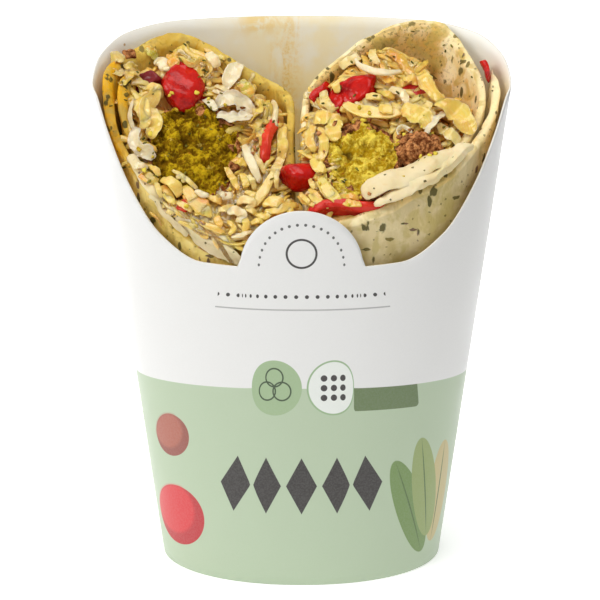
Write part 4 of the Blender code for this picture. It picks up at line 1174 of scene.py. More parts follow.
def red_flesh(name):
    """Wet red flesh with a smoother skin on one side and, on the other, pale pink specks that are seeds and
    painted glints.
    """
    light, deep = RED_TINTS.get(name, ((204, 24, 12), (150, 2, 4)))
    look = Look(name, Roughness=0.3, Subsurface_Weight=0.25, Subsurface_Scale=0.002,
                Subsurface_Radius=(1.0, 0.15, 0.08), Coat_Weight=0.3, Coat_Roughness=0.06, IOR=1.36,
                Specular_IOR_Level=0.15)
    skin = look.value("skin")
    look.colour = look.between(look.patches((3.0, 3.0, 0.55, 0.4), 0.35, 0.65), deep, light)
    look.over(skin * 0.6, *light)
    # pale pink specks on the flesh: seeds, and painted glints
    seeds_and_glints = look.span(look.cells(3.0)[0], 0.16, 0.1) * (1.0 - skin)
    look.over(seeds_and_glints * 0.2, 224, 110, 80)
    wet = look.noise(1.3, 3.0, 0.6, 0.5)
    rise = look.bump(wet + seeds_and_glints * 0.4, look.span(skin, 0.0, 1.0, 0.75, 0.12), 0.5)
    return look.done(Roughness=look.patches((2.0, 2.0), 0.4, 0.7, 0.2, 0.5), Normal=rise)


# ---------------------------------------------------------------- filling under the shreds
FILL_RINGS = 64
FILL_STEP = 2.0                           # degrees between columns
FILL_DROPS = (None, 60.0, 40.0, 26.0, 16.0, 9.0, 5.0, 2.5, 1.0)


def make_core(roll, name):
    """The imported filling: its side follows the bread's inside and its top is lumpy and saucy."""
    angles = np.arange(0.0, 360.0, FILL_STEP)
    inset = inside_inset(roll, angles) + 0.35
    inset = np.maximum.reduce([np.roll(inset, step) for step in (-2, -1, 0, 1, 2)])
    rings = list(slanting_rows(roll, angles, [inset] * len(FILL_DROPS), fill_top, FILL_DROPS, 108.0,
                               FOOD_BOTTOM + 30.0))
    rim = rings[-1]
    heart = rim.mean(axis=0)
    for share in np.linspace(0.985, 0.0, FILL_RINGS, endpoint=False):
        x, y = heart[0] + (rim[:, 0] - heart[0]) * share, heart[1] + (rim[:, 1] - heart[1]) * share
        z = fill_top(roll, x, y) - 1.0 * ease((share - 0.93) / 0.05)
        z = z + 0.8 * cloud(np.stack((x, y, 0 * x), axis=-1), 4.0, 6, 3)
        spot = np.stack((x, y, z), axis=-1)
        for scale, seed, size in ((2.3, 4, 0.9), (1.0, 9, 0.3)):
            z = z + size * grains(spot / scale, seed, 0.4, 0.75)[0]
        rings.append(np.stack((x, y, z), axis=1))
    heap = Heap()
    heap.add_rings(np.array(rings))
    points = np.concatenate(heap.points)
    # how far below the cut each point lies, for painted shade where the sauce lies deep
    low = cut_height(roll, points[:, 0], points[:, 1]) - FILL_DEPTH - points[:, 2]
    heap.values["deep"] = [ease((low - 0.8) / 3.6)]
    return heap_piece(name, heap, saucy(name), (f"filling_{roll}",))


def saucy(name):
    """Cream and orange sauce over finely cut vegetables, amber with painted shade where it lies deep."""
    deep, share = ((228, 160, 72), 0.95) if name == "sauce_left" else ((236, 186, 98), 0.5)
    look = Look(name, Roughness=0.35, Subsurface_Weight=0.3, Subsurface_Scale=0.003,
                Subsurface_Radius=(1.0, 0.6, 0.3), Coat_Weight=0.3, Coat_Roughness=0.12, Specular_IOR_Level=0.2)
    look.colour = look.between(look.patches((3.4, 3.0, 0.6), 0.35, 0.65), (246, 208, 124), (238, 178, 78))
    look.over(look.patches((1.4, 3.0, 0.6), 0.55, 0.7, 0.0, 0.6), 244, 220, 156)
    look.over(look.patches((8.0, 1.0), 0.52, 0.66, 0.0, 0.6), 216, 140, 48)
    # painted shade: amber where the sauce lies deep
    look.over(look.span(look.value("deep"), 0.0, 0.6, 0.0, share), *deep)
    distance, colour = look.cells(1.8)
    look.over(look.span(distance, 0.2, 0.12) * look.span(look.parts(colour)[1], 0.8, 0.81), 88, 92, 30)
    return look.done(Normal=look.bump(look.noise(0.8, 3.0), 0.5, 0.3))


# ---------------------------------------------------------------- cabbage, onion and grated shreds
LEAF = dict(lumps=0.05, blunt=0.1, square=0.8, ragged=0.28, edge=0.35, crumple=0.35)
CUT_STRIP = dict(lumps=0.02, blunt=0.03, square=0.5, ragged=0.09, edge=0.7, crumple=0.15)
SOAKED = -4.0                             # strips hang no deeper than this under the cut
BED_LOWEST, STREW_LOWEST = -18.0, -9.0    # deepest bare sauce that is covered, and that is strewn
STRIP_SPOTS = 12
RIM_FRONT = -22.0                         # in front of this, strips lie along the bread's rim
# Patches strewn with shreds: kind, middle x and y on the cut, half length and half width, heading, how many.
PATCHES = {
    "left": (
        ("strip", -26.0, 14.5, 17.0, 3.2, 0, 18),
        ("strip", -16.0, 9.5, 6.0, 3.0, 60, 8),
        ("strip", -44.5, 2.0, 2.2, 12.0, 0, 16),
        ("strip", -11.5, -3.5, 3.6, 9.0, 0, 22),
        ("strip", -12.5, -8.0, 4.6, 7.0, 0, 16),
        ("strip", -36.5, -12.0, 5.0, 2.6, -35, 14),
        ("strip", -19.0, -18.0, 14.0, 4.4, 0, 100),
        ("strip", -14.0, -23.0, 11.0, 3.0, -15, 54),
        ("strip", -30.0, -22.5, 4.0, 2.0, -35, 26),
        ("strip", -24.0, -24.0, 5.0, 2.0, -25, 30),
        ("chip", -18.0, -18.0, 14.0, 5.0, 0, 5),
        ("chip", -12.0, -2.0, 5.0, 10.0, 0, 6),
        ("chip", -30.0, 12.0, 16.0, 4.0, 0, 6),
    ),
    "right": (
        ("strip", 4.4, -3.0, 2.6, 12.0, 0, 40),
        ("chip", 4.6, -6.0, 3.0, 13.0, 0, 10),
        ("strip", 22.0, 2.2, 11.0, 3.0, -10, 24),
        ("strip", 24.0, 7.0, 10.0, 3.0, -20, 14),
        ("strip", 32.0, -2.6, 5.0, 3.4, -30, 14),
        ("chip", 26.0, 1.0, 12.0, 5.0, 0, 8),
        ("strip", 9.0, -18.6, 7.0, 1.6, 0, 18),
        ("chip", 9.0, -18.6, 7.0, 1.6, 0, 4),
    ),
}
STRIP = dict(length=(6.0, 14.0), width=(0.9, 2.1), thick=(0.5, 1.1), cup=(-0.1, 0.25), ruffle=(0.0, 0.12),
             bend=(-60, 60), lift=(-0.2, 0.6), tone=(0.15, 0.85), twist=(-50, 50))


def bent_line(start, heading, length, bend, wiggle, count):
    """Spots along a line that bends steadily and wanders a little, about its middle."""
    run = np.linspace(-0.5, 0.5, count)
    turn = np.radians(heading + bend * run + wiggle * np.sin(6.5 * run + wiggle))
    step = np.stack((np.cos(turn), np.sin(turn)), axis=1) * length / (count - 1)
    line = np.cumsum(step, axis=0)
    return line - line.mean(axis=0) + start


BED = dict(spacing=1.9, length=(5.0, 12.0), width=(1.1, 2.3), thick=(0.7, 1.3), tone=(0.3, 0.85))


def grain_way(spot, spread, dice):
    """Heading in which shreds near a spot lie, as they do in a handful of slaw."""
    return 150.0 * float(cloud(np.array([[*spot, 0.0]]), 11.0, 21)[0]) + dice.uniform(-spread, spread)


def lay_bed(face, heap):
    """Cover all bare sauce with short pieces, side by side and half sunk in it."""
    dice = face.dice
    face.lowest = BED_LOWEST
    rows = np.arange(-38.0, 38.0, BED["spacing"])
    spots = np.stack(np.meshgrid(rows, rows), axis=-1).reshape(-1, 2)
    spots = spots + dice.uniform(-0.5, 0.5, spots.shape) * BED["spacing"]
    for spot in dice.permutation(spots):
        length, width, thick, tone = (dice.uniform(*BED[key]) for key in ("length", "width", "thick", "tone"))
        bend, tilt = dice.uniform((-70, -40), (70, 40))
        line = bent_line(spot, grain_way(spot, 30.0, dice), length, bend, 0.0, 10)
        if not all(face.bare(place) for place in line[2:-2]):
            continue
        run = np.linspace(-1.0, 1.0, len(line))
        face.lay(heap, line, width * (1.0 - 0.2 * run ** 2), thick, sink=0.75, cup=0.1, turn=tilt * run,
                 lumps=0.03, columns=12, blunt=0.03, square=0.6, ragged=0.1, edge=0.7, tone=tone)


def strew(face, heap):
    """Strew strips and chips over the patches, in a mixed order."""
    dice = face.dice
    order = [patch[:-1] for patch in PATCHES[face.roll] for _ in range(patch[-1])]
    for index in dice.permutation(len(order)):
        kind, x, y, long, wide, heading = order[index]
        turn = math.radians(heading)
        off = dice.normal(0.0, 0.5, 2) * (long, wide)
        spot = face.spot(x + off[0] * math.cos(turn) - off[1] * math.sin(turn),
                         y + off[0] * math.sin(turn) + off[1] * math.cos(turn))
        if not STREW_LOWEST < face.at(spot) < 3.0 or face.on_falafel(spot):
            continue
        if kind == "chip":
            size = dice.uniform((1.6, 1.2, 0.7), (3.6, 2.2, 1.4))
            face.lay_lump(heap, spot, size, dice.uniform(0, 180), columns=9, tone=dice.uniform(0.1, 1.0))
            continue
        pick = {key: dice.uniform(*span) for key, span in STRIP.items()}
        way = heading + dice.uniform(-20.0, 20.0) if y < RIM_FRONT else grain_way(spot, 50.0, dice)
        spots = bent_line(spot, way, pick["length"], pick["bend"], dice.uniform(-25, 25), STRIP_SPOTS)
        under = face.at(spots)
        if np.median(under) < STREW_LOWEST or under.max() > 3.5 or np.ptp(under) > 14.0:
            continue
        run = np.linspace(-1.0, 1.0, STRIP_SPOTS)
        uneven = 1.0 + 0.22 * cloud(np.stack((run * 2.2, 0 * run, 0 * run + index), axis=1), 1.0)
        face.lay(heap, spots, pick["width"] * uneven, pick["thick"] * uneven[::-1], sink=0.5,
                 lift=pick["lift"] * run ** 2, cup=pick["cup"], ruffle=pick["ruffle"], waves=2.2,
                 turn=pick["twist"] * run, columns=12, tone=pick["tone"], **CUT_STRIP)


# Strips and leaves laid one by one: thickness, cup, ruffle and tone, then knots of (x, y, lift, width, turn) in
# tenths of a millimetre and degrees. A knot without a turn lies flat.
LAID = {
    "left": (
        (0.9, 0.4, 0.3, 0.35, (-538, 108, 4, 19), (-515, 115, 8, 28, 20), (-491, 111, 4, 19)),
        (0.9, 0.4, 0.3, 0.25, (-534, 86, 2, 17), (-511, 79, 6, 24, -20), (-484, 92, 3, 17)),
        (0.8, 0.4, 0.3, 0.45, (-486, 98, 6, 17), (-466, 106, 10, 24, 30), (-452, 107, 6, 14)),
        (0.8, 0.7, 0.5, 0.5, (-456, 94, 6, 24), (-469, 80, 10, 30, 30), (-480, 63, 9, 28, 50),
         (-498, 53, 4, 17, 20)),
        (2.2, 0.1, 0.1, 0.12, (-402, 143, 4, 33), (-385, 133, 12, 45), (-378, 116, 8, 38), (-373, 103, 2, 19)),
        (1.3, 0.2, 0.2, 0.95, (-365, 153, 2, 24), (-355, 128, 5, 31, 20), (-350, 111, 1, 17)),
        (1, 0.3, 0.3, 0.38, (-341, 145, 4, 10, 40), (-325, 130, 10, 16, 60), (-301, 126, 14, 18, 70),
         (-278, 139, 16, 18, 70), (-258, 132, 16, 18, 70), (-253, 118, 12, 16, 60), (-268, 104, 6, 12, 40)),
        (0.8, 0.3, 0.2, 0.8, (-318, 128, 1, 24), (-294, 118, 3, 36), (-271, 116, 1, 24)),
        (2.4, 0.1, 0.1, 0.15, (-262, 156, 6, 28), (-248, 143, 12, 40), (-236, 129, 8, 29)),
        (1.3, 0.35, 0.12, 0, (-170, 151, 10, 28, 10), (-183, 136, 14, 52, 10), (-196, 116, 14, 59),
         (-205, 97, 10, 45), (-209, 83, 4, 17)),
        (0.9, 0.2, 0.1, 0.1, (-245, 80, 3, 12), (-224, 74, 6, 17), (-200, 73, 3, 12)),
        (0.8, 0.3, 0.1, 0.2, (-238, 95, 2, 11), (-217, 81, 6, 16, 20), (-191, 74, 4, 14)),
        (0.8, 0.5, 0.3, 0.62, (-184, 81, 4, 19), (-166, 96, 11, 27, 30), (-146, 95, 5, 19)),
        (1, 0.45, 0.2, 0.06, (-232, 41, 4, 24), (-205, 56, 12, 49), (-175, 56, 15, 58), (-151, 47, 11, 40),
         (-137, 37, 5, 24)),
        (1, 0.5, 0.25, 0.08, (-233, 21, 6, 22), (-204, 15, 14, 36, -10), (-169, 17, 16, 40, -15),
         (-142, 31, 10, 26)),
        (0.8, 0.5, 0.7, 0.5, (-128, 76, 8, 14, 30), (-114, 63, 14, 25, 50), (-119, 42, 14, 28, 50),
         (-135, 24, 10, 26, 40), (-156, 12, 5, 17, 20)),
        (1.1, 0.3, 0.1, 0.05, (-267, 58, 3, 21), (-251, 42, 7, 30), (-236, 28, 3, 19)),
        (0.9, 0.3, 0.3, 0.78, (-177, -27, 4, 11, 40), (-157, -33, 10, 16, 60), (-139, -25, 13, 17, 65),
         (-130, -6, 12, 17, 60), (-148, 6, 8, 13, 50)),
        (0.8, 0.4, 0.2, 0.7, (-128, 0, 2, 21), (-111, -16, 6, 28), (-106, -34, 2, 19)),
        (0.8, 0.3, 0.3, 0.6, (-112, 26, 2, 21), (-125, 2, 5, 24, 10), (-102, -5, 2, 19)),
        (2.2, 0.1, 0.15, 0.4, (-422, 61, 8, 28), (-399, 55, 16, 41), (-388, 44, 10, 28)),
        (1.8, 0.3, 0.3, 0.42, (-392, 61, 5, 26), (-408, 38, 10, 38, -20), (-423, 13, 12, 49, -30),
         (-413, -13, 13, 53), (-405, -34, 10, 44, 20), (-415, -56, 4, 26)),
        (1.4, 0.4, 0.3, 0.4, (-453, 27, 4, 28), (-439, 10, 10, 40, 20), (-428, -21, 11, 33),
         (-430, -42, 5, 22)),
        (1.1, 0.3, 0.1, 0.1, (-457, 28, 2, 9, 30), (-468, -2, 6, 17, 40), (-465, -27, 6, 17, 40),
         (-454, -44, 2, 10, 30)),
        (1.2, 0.5, 0.25, 0.03, (-446, -40, 4, 21), (-455, -67, 12, 34, 30), (-441, -88, 15, 40, 50),
         (-419, -97, 11, 38, 20), (-403, -104, 4, 21)),
        (1.7, 0.1, 0.1, 0.12, (-159, -42, 6, 21), (-148, -70, 15, 31, 10), (-133, -96, 16, 31, 10),
         (-115, -121, 6, 18)),
        (1.1, 0.2, 0.1, 0.35, (-134, -61, 3, 14), (-115, -81, 8, 22), (-102, -100, 3, 14)),
        (1.4, 0.2, 0.3, 0.9, (-190, -82, 3, 16), (-168, -86, 10, 24), (-150, -91, 4, 17)),
        (1.2, 0.2, 0.1, 0.62, (-206, -100, 4, 17), (-190, -125, 10, 26), (-172, -148, 4, 14)),
        (1.2, 0.2, 0.1, 0.5, (-163, -107, 4, 21), (-154, -126, 9, 29), (-151, -138, 4, 21)),
        (1, 0.2, 0.1, 0.3, (-147, -112, 4, 14), (-135, -125, 8, 21), (-128, -139, 3, 14)),
        (1, 0.4, 0.3, 0.55, (-42, 35, 2, 14), (-54, -1, 7, 26), (-51, -33, 8, 28), (-60, -72, 4, 19)),
        (1.2, 0.2, 0.2, 0.35, (-56, -55, 3, 19), (-69, -87, 9, 28), (-78, -113, 4, 19)),
        (1.2, 0.3, 0.2, 0.6, (-46, -155, 3, 19), (-23, -159, 9, 33), (4, -149, 3, 22)),
        (1.1, 0.15, 0.05, 0.35, (-272, -262, 4, 28), (-240, -277, 9, 37), (-208, -291, 7, 35),
         (-184, -298, 2, 24)),
        (1.6, 0.1, 0.1, 0.35, (-78, -95, 4, 19), (-94, -127, 12, 31), (-113, -156, 13, 34),
         (-129, -178, 5, 19)),
        (1.4, 0.1, 0.1, 0.3, (-67, -90, 4, 12), (-72, -113, 12, 19), (-69, -131, 6, 12)),
        (1.6, 0.1, 0.1, 0.4, (-152, -148, 3, 14), (-134, -156, 8, 22), (-140, -172, 4, 17)),
        (1.8, 0.1, 0.1, 0.3, (-175, -178, 3, 19), (-157, -170, 10, 31), (-136, -178, 10, 29),
         (-147, -188, 4, 19)),
        (1.8, 0.1, 0.05, 0.45, (-106, -175, 5, 14), (-87, -168, 15, 39), (-66, -169, 16, 46),
         (-52, -174, 8, 24)),
        (1.5, 0.1, 0.1, 0.5, (-101, -188, 3, 14), (-73, -186, 10, 31), (-45, -174, 10, 31), (-10, -158, 4, 19)),
        (1.2, 0.4, 0.1, 0.35, (-224, -201, 6, 10), (-207, -197, 14, 22, 20), (-182, -190, 8, 17)),
        (1.5, 0.1, 0.1, 0.45, (-254, -176, 2, 14), (-233, -179, 8, 24), (-217, -182, 3, 17)),
        (1.4, 0.2, 0.1, 0.2, (-202, -205, 4, 19), (-179, -200, 11, 36), (-161, -207, 10, 36),
         (-170, -222, 4, 22)),
        (1.2, 0.1, 0.1, 0.4, (-152, -191, 3, 12), (-133, -194, 9, 22), (-122, -197, 3, 14)),
        (1.4, 0.1, 0.1, 0.6, (-161, -206, 2, 19), (-151, -224, 8, 27), (-156, -243, 3, 17)),
        (1.3, 0.1, 0.1, 0.5, (-122, -198, 3, 14), (-103, -202, 9, 24), (-82, -190, 3, 14)),
        (1.3, 0.1, 0.1, 0.6, (-288, -214, 3, 22), (-260, -206, 10, 34), (-251, -220, 6, 24)),
        (1.2, 0.1, 0.1, 0.6, (-269, -235, 2, 14), (-239, -243, 6, 27), (-211, -250, 3, 19)),
        (1.3, 0.1, 0.1, 0.45, (-198, -223, 3, 14), (-183, -236, 8, 19), (-195, -248, 3, 14)),
        (1.2, 0.2, 0.1, 0.15, (-188, -254, 3, 7), (-163, -250, 9, 17), (-135, -238, 3, 10)),
        (1.2, 0.1, 0.1, 0.55, (-138, -219, 2, 14), (-119, -213, 7, 22), (-103, -214, 2, 14)),
        (1.2, 0.1, 0.1, 0.85, (-230, -214, 1, 22), (-223, -231, 5, 29), (-229, -243, 1, 19)),
        (1.3, 0.1, 0.1, 0.5, (-45, -176, 2, 17), (-27, -181, 7, 24), (-6, -171, 2, 17)),
        (2.6, 0, 0, 0, (-219, -173, 16, 24), (-206, -172, 17, 27), (-193, -170, 16, 24)),
        (2.4, 0, 0, 0, (-286, -171, 10, 14), (-272, -176, 15, 22), (-256, -177, 10, 16)),
        (1.8, 0.1, 0.1, 0.12, (-451, -133, 5, 18), (-438, -131, 11, 23), (-418, -129, 5, 15)),
        (1.6, 0.1, 0.1, 0.45, (-409, -123, 5, 15), (-394, -133, 11, 25), (-387, -142, 6, 18)),
        (1.4, 0.1, 0.1, 0.95, (-428, -142, 1, 20), (-408, -151, 6, 28), (-393, -163, 2, 20)),
        (2, 0.1, 0.1, 0.4, (-377, -149, 6, 23), (-360, -156, 13, 38), (-340, -167, 14, 42),
         (-328, -179, 9, 30)),
        (1.4, 0.1, 0.1, 0.3, (-339, -144, 6, 15), (-324, -140, 10, 20), (-319, -151, 6, 15)),
        (1.3, 0.1, 0.1, 0.3, (-393, -162, 4, 15), (-386, -178, 9, 20), (-378, -190, 4, 13)),
        (1.3, 0.1, 0.1, 0.45, (-373, -184, 4, 13), (-354, -194, 9, 23), (-342, -201, 5, 15)),
        (1.2, 0.1, 0.1, 0.8, (-319, -158, 3, 23), (-304, -175, 8, 40), (-289, -192, 6, 35),
         (-270, -198, 2, 23)),
        (1.2, 0.2, 0.1, 0.3, (-335, -198, 4, 15), (-318, -205, 10, 23), (-296, -212, 8, 18)),
        (1.2, 0.1, 0.1, 0.65, (-287, -207, 3, 18), (-265, -205, 8, 28), (-246, -199, 4, 23)),
        (1.2, 0.1, 0.05, 0.3, (-351, -126, 4, 10), (-327, -137, 8, 18), (-303, -150, 8, 18),
         (-283, -160, 4, 13)),
        (1.2, 0.05, 0, 1, (-435, -145, 1, 28), (-413, -153, 5, 38), (-389, -158, 1, 28)),
        (1.2, 0.05, 0, 0.97, (-312, -173, 2, 38), (-287, -189, 7, 60), (-265, -201, 7, 60),
         (-249, -207, 2, 38)),
        (1, 0.05, 0, 1, (-377, -164, 0, 20), (-364, -176, 4, 28), (-349, -193, 0, 23)),
        (1, 0.05, 0, 0.98, (-406, -206, 0, 15), (-392, -220, 3, 23), (-384, -233, 0, 15)),
        (1, 0.1, 0.05, 0.3, (-344, -248, 2, 12), (-285, -266, 6, 18), (-227, -282, 6, 18), (-172, -297, 2, 11)),
        (1, 0.1, 0.05, 0.2, (-307, -282, 2, 9), (-255, -299, 6, 15), (-197, -306, 2, 9)),
        (1.1, 0.1, 0.05, 0.4, (-286, -248, 2, 12), (-234, -262, 7, 20), (-183, -280, 2, 12)),
        (1, 0.4, 0.2, 1.3, (-174, 103, 4, 23), (-151, 87, 10, 38, 20), (-142, 74, 4, 23)),
        (1, 0.3, 0.2, 1.3, (-432, 163, 2, 15), (-413, 153, 6, 26), (-400, 147, 2, 15)),
        (1, 0.1, 0.05, 1.7, (-277, -230, 2, 9), (-269, -236, 6, 15), (-260, -237, 2, 9)),
    ),
    "right": (
        (1.4, 0.3, 0.1, 0.25, (109, 131, 2, 29), (133, 140, 8, 41), (160, 155, 4, 32)),
        (1.2, 0.5, 0.1, 0.3, (198, 167, 4, 19), (198, 138, 11, 30), (211, 114, 5, 22)),
        (0.8, 0.5, 0.2, 0.98, (234, 152, 2, 19), (267, 134, 9, 26, 20), (287, 108, 9, 26, 20),
         (303, 77, 3, 19)),
        (1.8, 0.1, 0.05, 0.08, (151, 135, 12, 11), (164, 109, 20, 19, 10), (194, 86, 23, 25, 10),
         (234, 77, 23, 24), (277, 85, 14, 13)),
        (0.9, 0.3, 0.2, 0.8, (209, 89, 3, 15), (239, 65, 9, 21), (263, 67, 4, 15)),
        (1.2, 0.3, 0.2, 0.75, (279, 63, 2, 19), (303, 59, 8, 29), (321, 48, 3, 19)),
        (1, 0.4, 0.4, 0.66, (320, 88, 6, 17), (333, 62, 14, 39, 10), (351, 29, 16, 38, 20),
         (374, -3, 14, 29, 20), (406, -26, 5, 16)),
        (1.6, 0.1, 0, 0.35, (179, 32, 6, 21), (198, 29, 11, 29), (218, 24, 6, 21)),
        (1.2, 0.3, 0.2, 0.2, (239, 45, 4, 15), (266, 32, 13, 24, 20), (285, 12, 10, 22, 20), (292, -5, 4, 15)),
        (1.6, 0.15, 0.08, 0.36, (119, 23, 6, 24), (146, 2, 15, 46, -10), (188, -15, 17, 48), (230, -25, 17, 45),
         (272, -24, 12, 32)),
        (1.3, 0.3, 0.2, 0.55, (272, -15, 6, 31), (300, -33, 15, 52), (332, -51, 15, 60), (348, -73, 8, 34)),
        (1.2, 0, 0, 0.6, (215, -12, 22, 29), (233, -19, 24, 37), (251, -23, 22, 30)),
        (1, 0.2, 0.1, 0.05, (270, -90, 6, 11, 40), (262, -69, 14, 16, 60), (276, -61, 16, 16, 60),
         (297, -77, 13, 15, 60), (299, -87, 8, 11, 40)),
        (1.2, 0.4, 0.2, 0, (387, -31, 6, 16), (372, -56, 14, 25, 20), (353, -74, 11, 22, 20),
         (334, -89, 4, 14)),
        (1, 0.3, 0.2, 0.62, (371, -9, 2, 29), (408, -31, 8, 58), (439, -62, 8, 63), (452, -95, 2, 39)),
        (1.2, 0.3, 0.2, 0.3, (369, -67, 3, 21), (396, -88, 10, 35), (428, -111, 4, 24)),
        (1, 0.3, 0.2, 0.35, (353, -6, 2, 19), (338, -25, 8, 29), (363, -44, 3, 21)),
        (1, 0.4, 0.2, 0.35, (59, 68, 2, 19), (67, 37, 9, 29), (89, 8, 3, 17)),
        (1.4, 0.2, 0.1, 0.45, (78, 87, 3, 21), (94, 76, 10, 31), (101, 56, 3, 21)),
        (1.6, 0.2, 0.2, 0.5, (37, -6, 3, 29), (61, -6, 11, 41), (87, -13, 10, 39), (108, -30, 3, 24)),
        (1.8, 0.2, 0.2, 0.55, (87, -13, 3, 29), (91, -46, 11, 46), (86, -71, 3, 29)),
        (1.2, 0.3, 0.2, 0.6, (35, -20, 3, 19), (24, -53, 10, 29, 20), (35, -87, 4, 19)),
        (1.4, 0.2, 0.2, 0.62, (51, -27, 4, 17), (63, -60, 12, 26), (63, -93, 9, 26), (51, -115, 3, 16)),
        (1.6, 0.2, 0.2, 0.5, (28, -103, 3, 19), (46, -127, 10, 29), (65, -143, 3, 19)),
        (1.3, 0.3, 0.1, 0.42, (48, -159, 4, 27), (69, -193, 13, 43), (90, -216, 12, 39), (106, -232, 4, 22)),
        (1.3, 0.2, 0.1, 0.62, (-7, -176, 3, 19), (13, -205, 11, 29), (39, -229, 4, 17)),
        (1.2, 0.2, 0.1, 0.5, (23, -193, 3, 17), (46, -221, 10, 24), (78, -237, 4, 17)),
        (1.3, 0.2, 0.1, 0.6, (-56, -215, 3, 17), (-70, -197, 9, 29), (-84, -166, 3, 17)),
        (1.4, 0.2, 0.1, 0.7, (101, -221, 3, 19), (129, -235, 9, 29), (161, -239, 4, 19)),
        (1.5, 0.2, 0.1, 0.4, (53, -160, 4, 19), (65, -184, 13, 36), (79, -206, 12, 36), (97, -221, 4, 21)),
        (1.3, 0.1, 0.1, 0.35, (22, -147, 3, 13), (30, -172, 10, 19), (36, -184, 4, 13)),
        (1.4, 0.1, 0.1, 0.4, (-5, -174, 3, 11), (5, -195, 10, 19), (24, -221, 5, 17)),
        (1.3, 0.1, 0.1, 0.85, (24, -181, 1, 15), (40, -201, 6, 24), (58, -219, 2, 17)),
        (1.2, 0.1, 0.05, 1.3, (103, -213, 2, 20), (129, -216, 6, 26), (154, -222, 2, 18)),
        (1.2, 0.1, 0.05, 1.3, (222, 41, 2, 17), (239, 27, 6, 28), (255, 20, 2, 17)),
        (1.2, 0.1, 0.05, 1.3, (85, -118, 2, 12), (97, -118, 6, 18), (108, -116, 2, 12)),
    ),
}


def lay_by_hand(face, heap):
    """Lay the larger strips and leaves where the tables place them."""
    for thick, cup, ruffle, tone, *knots in LAID[face.roll]:
        leafy = ruffle >= 0.2
        spots, lift, width, turn = face.trace(knots, 6 * len(knots) + 6)
        face.lay(heap, spots, (1.0 if leafy else 0.8) * width, (0.5 if leafy else 0.62) * thick, lift=lift,
                 turn=turn, cup=cup, ruffle=1.3 * ruffle, columns=16, sink=0.3, tone=tone,
                 **(LEAF if leafy else CUT_STRIP))


SHRED_TINTS = ((0.05, 0.5, (252, 208, 104)), (0.5, 0.85, (249, 189, 80)), (0.85, 1.0, (236, 150, 46)),
               (1.1, 1.2, (196, 184, 62)), (1.5, 1.6, (122, 52, 74)))      # each over a range of tones


def shred_flesh(name):
    """Pale, wet, slightly see-through cabbage and grated cheese with sauce on them, amber with painted shade
    where they lie deep among others.
    """
    look = Look(name, Roughness=0.4, Subsurface_Weight=0.6, Subsurface_Scale=0.0018,
                Subsurface_Radius=(1.0, 0.8, 0.5), Coat_Weight=0.9, Coat_Roughness=0.1, IOR=1.33,
                Specular_IOR_Level=0.2)
    tone, rib, deep, run = (look.value(key) for key in ("tone", "rib", "deep", "run"))
    along = look.wire(0, "ShaderNodeCombineXYZ", X=rib * 0.004, Y=run * 0.0015, Z=tone * 0.1)
    fibres = look.noise(0.5, 2.0, 0.6, 0.3, along)
    look.colour = linear(242, 224, 184)
    for low, high, tint in SHRED_TINTS:
        look.over(look.span(tone, low, high), *tint)
    look.over(look.span(fibres, 0.5, 0.72, 0.0, 0.5), 253, 234, 180)
    look.over(look.patches((4.0, 4.0, 0.65, 0.4), 0.42, 0.6) * tone.scaled(0.7, 0.14), 240, 172, 70)
    look.over(look.patches((6.0, 1.0), 0.46, 0.6, 0.0, 0.5) * look.span(tone, 0.1, 0.4), 236, 206, 92)
    # painted shade: amber where a shred lies deep among those laid on it
    look.over(deep * 0.8, 246, 176, 76)
    rise = look.bump(look.noise(0.8, 3.0, 0.6) + fibres * 0.9, 0.5, 0.35)
    return look.done(Roughness=look.patches((2.4, 2.0), 0.4, 0.65, 0.2, 0.45), Normal=rise)


BROWN_BIT = (-47.4, 13.6)                 # a larger browned crumb at the back of the left half


def make_crumbs(face):
    """Crumbs that fell from the falafel, most of them around its rim."""
    heap = Heap()
    dice = face.dice
    face.highest = 3.5
    if face.roll == "left":
        face.lay_lump(heap, face.spot(*BROWN_BIT), (3.8, 2.8, 2.4), 20.0, sink=0.1, rough=0.3, columns=20,
                      tone=0.6, crust=1.0, pit=0.0)
    for _name, roll, at, radii, *_rest in FALAFEL:
        if roll != face.roll:
            continue
        for _ in range(int(1.8 * radii[0])):
            turn, reach, heading = dice.uniform((0.0, 0.9, 0.0), (2 * math.pi, 1.25, 180.0))
            spot = face.spot(*at) + np.array((math.cos(turn), math.sin(turn))) * radii[:2] * reach
            size = dice.uniform((0.7, 0.5, 0.4), (1.8, 1.4, 1.1))
            browned = float(dice.random() < 0.4)
            if -5.0 < face.at(spot):
                face.lay_lump(heap, spot, size, heading, rough=0.3, tone=dice.uniform(0.3, 1.0), crust=browned,
                              pit=0.0)
    return heap_piece(f"crumbs_{face.roll}", heap, falafel_crumb(f"crumbs_{face.roll}"))


def make_herbs(face):
    """Flakes of chopped herb on the filling."""
    heap = Heap()
    dice = face.dice
    for spot in dice.uniform(-26.0, 26.0, (60, 2)):
        size, heading = dice.uniform((0.7, 0.35, 0.2), (1.5, 0.65, 0.3)), dice.uniform(0.0, 180.0)
        if -4.0 < face.at(spot) < 3.2:
            face.lay_lump(heap, spot, size, heading, sink=0.2, rough=0.2, columns=7)
    look = Look(f"herbs_{face.roll}", Roughness=0.6, Specular_IOR_Level=0.1)
    look.colour = look.between(look.patches((2.0, 2.0), 0.4, 0.6), (76, 74, 26), (130, 122, 48))
    return heap_piece(f"herbs_{face.roll}", heap, look.done())


def make_shreds(roll, under):
    """All that lies loose on the cut of a half: shreds, crumbs and herbs."""
    face = CutFace(roll, 5 if roll == "left" else 8)
    face.see([piece for piece in under if piece.name.startswith("sauce")])
    face.sauce = face.height.copy()
    face.see(under)
    face.seen = face.height.copy()
    heap = Heap()
    face.highest = 0.2
    lay_bed(face, heap)
    face.lowest = SOAKED
    strew(face, heap)
    face.highest = 1.4
    lay_by_hand(face, heap)
    deepen(heap, face)
    make_crumbs(face)
    make_herbs(face)
    return heap_piece(f"shreds_{roll}", heap, shred_flesh(f"shreds_{roll}"))
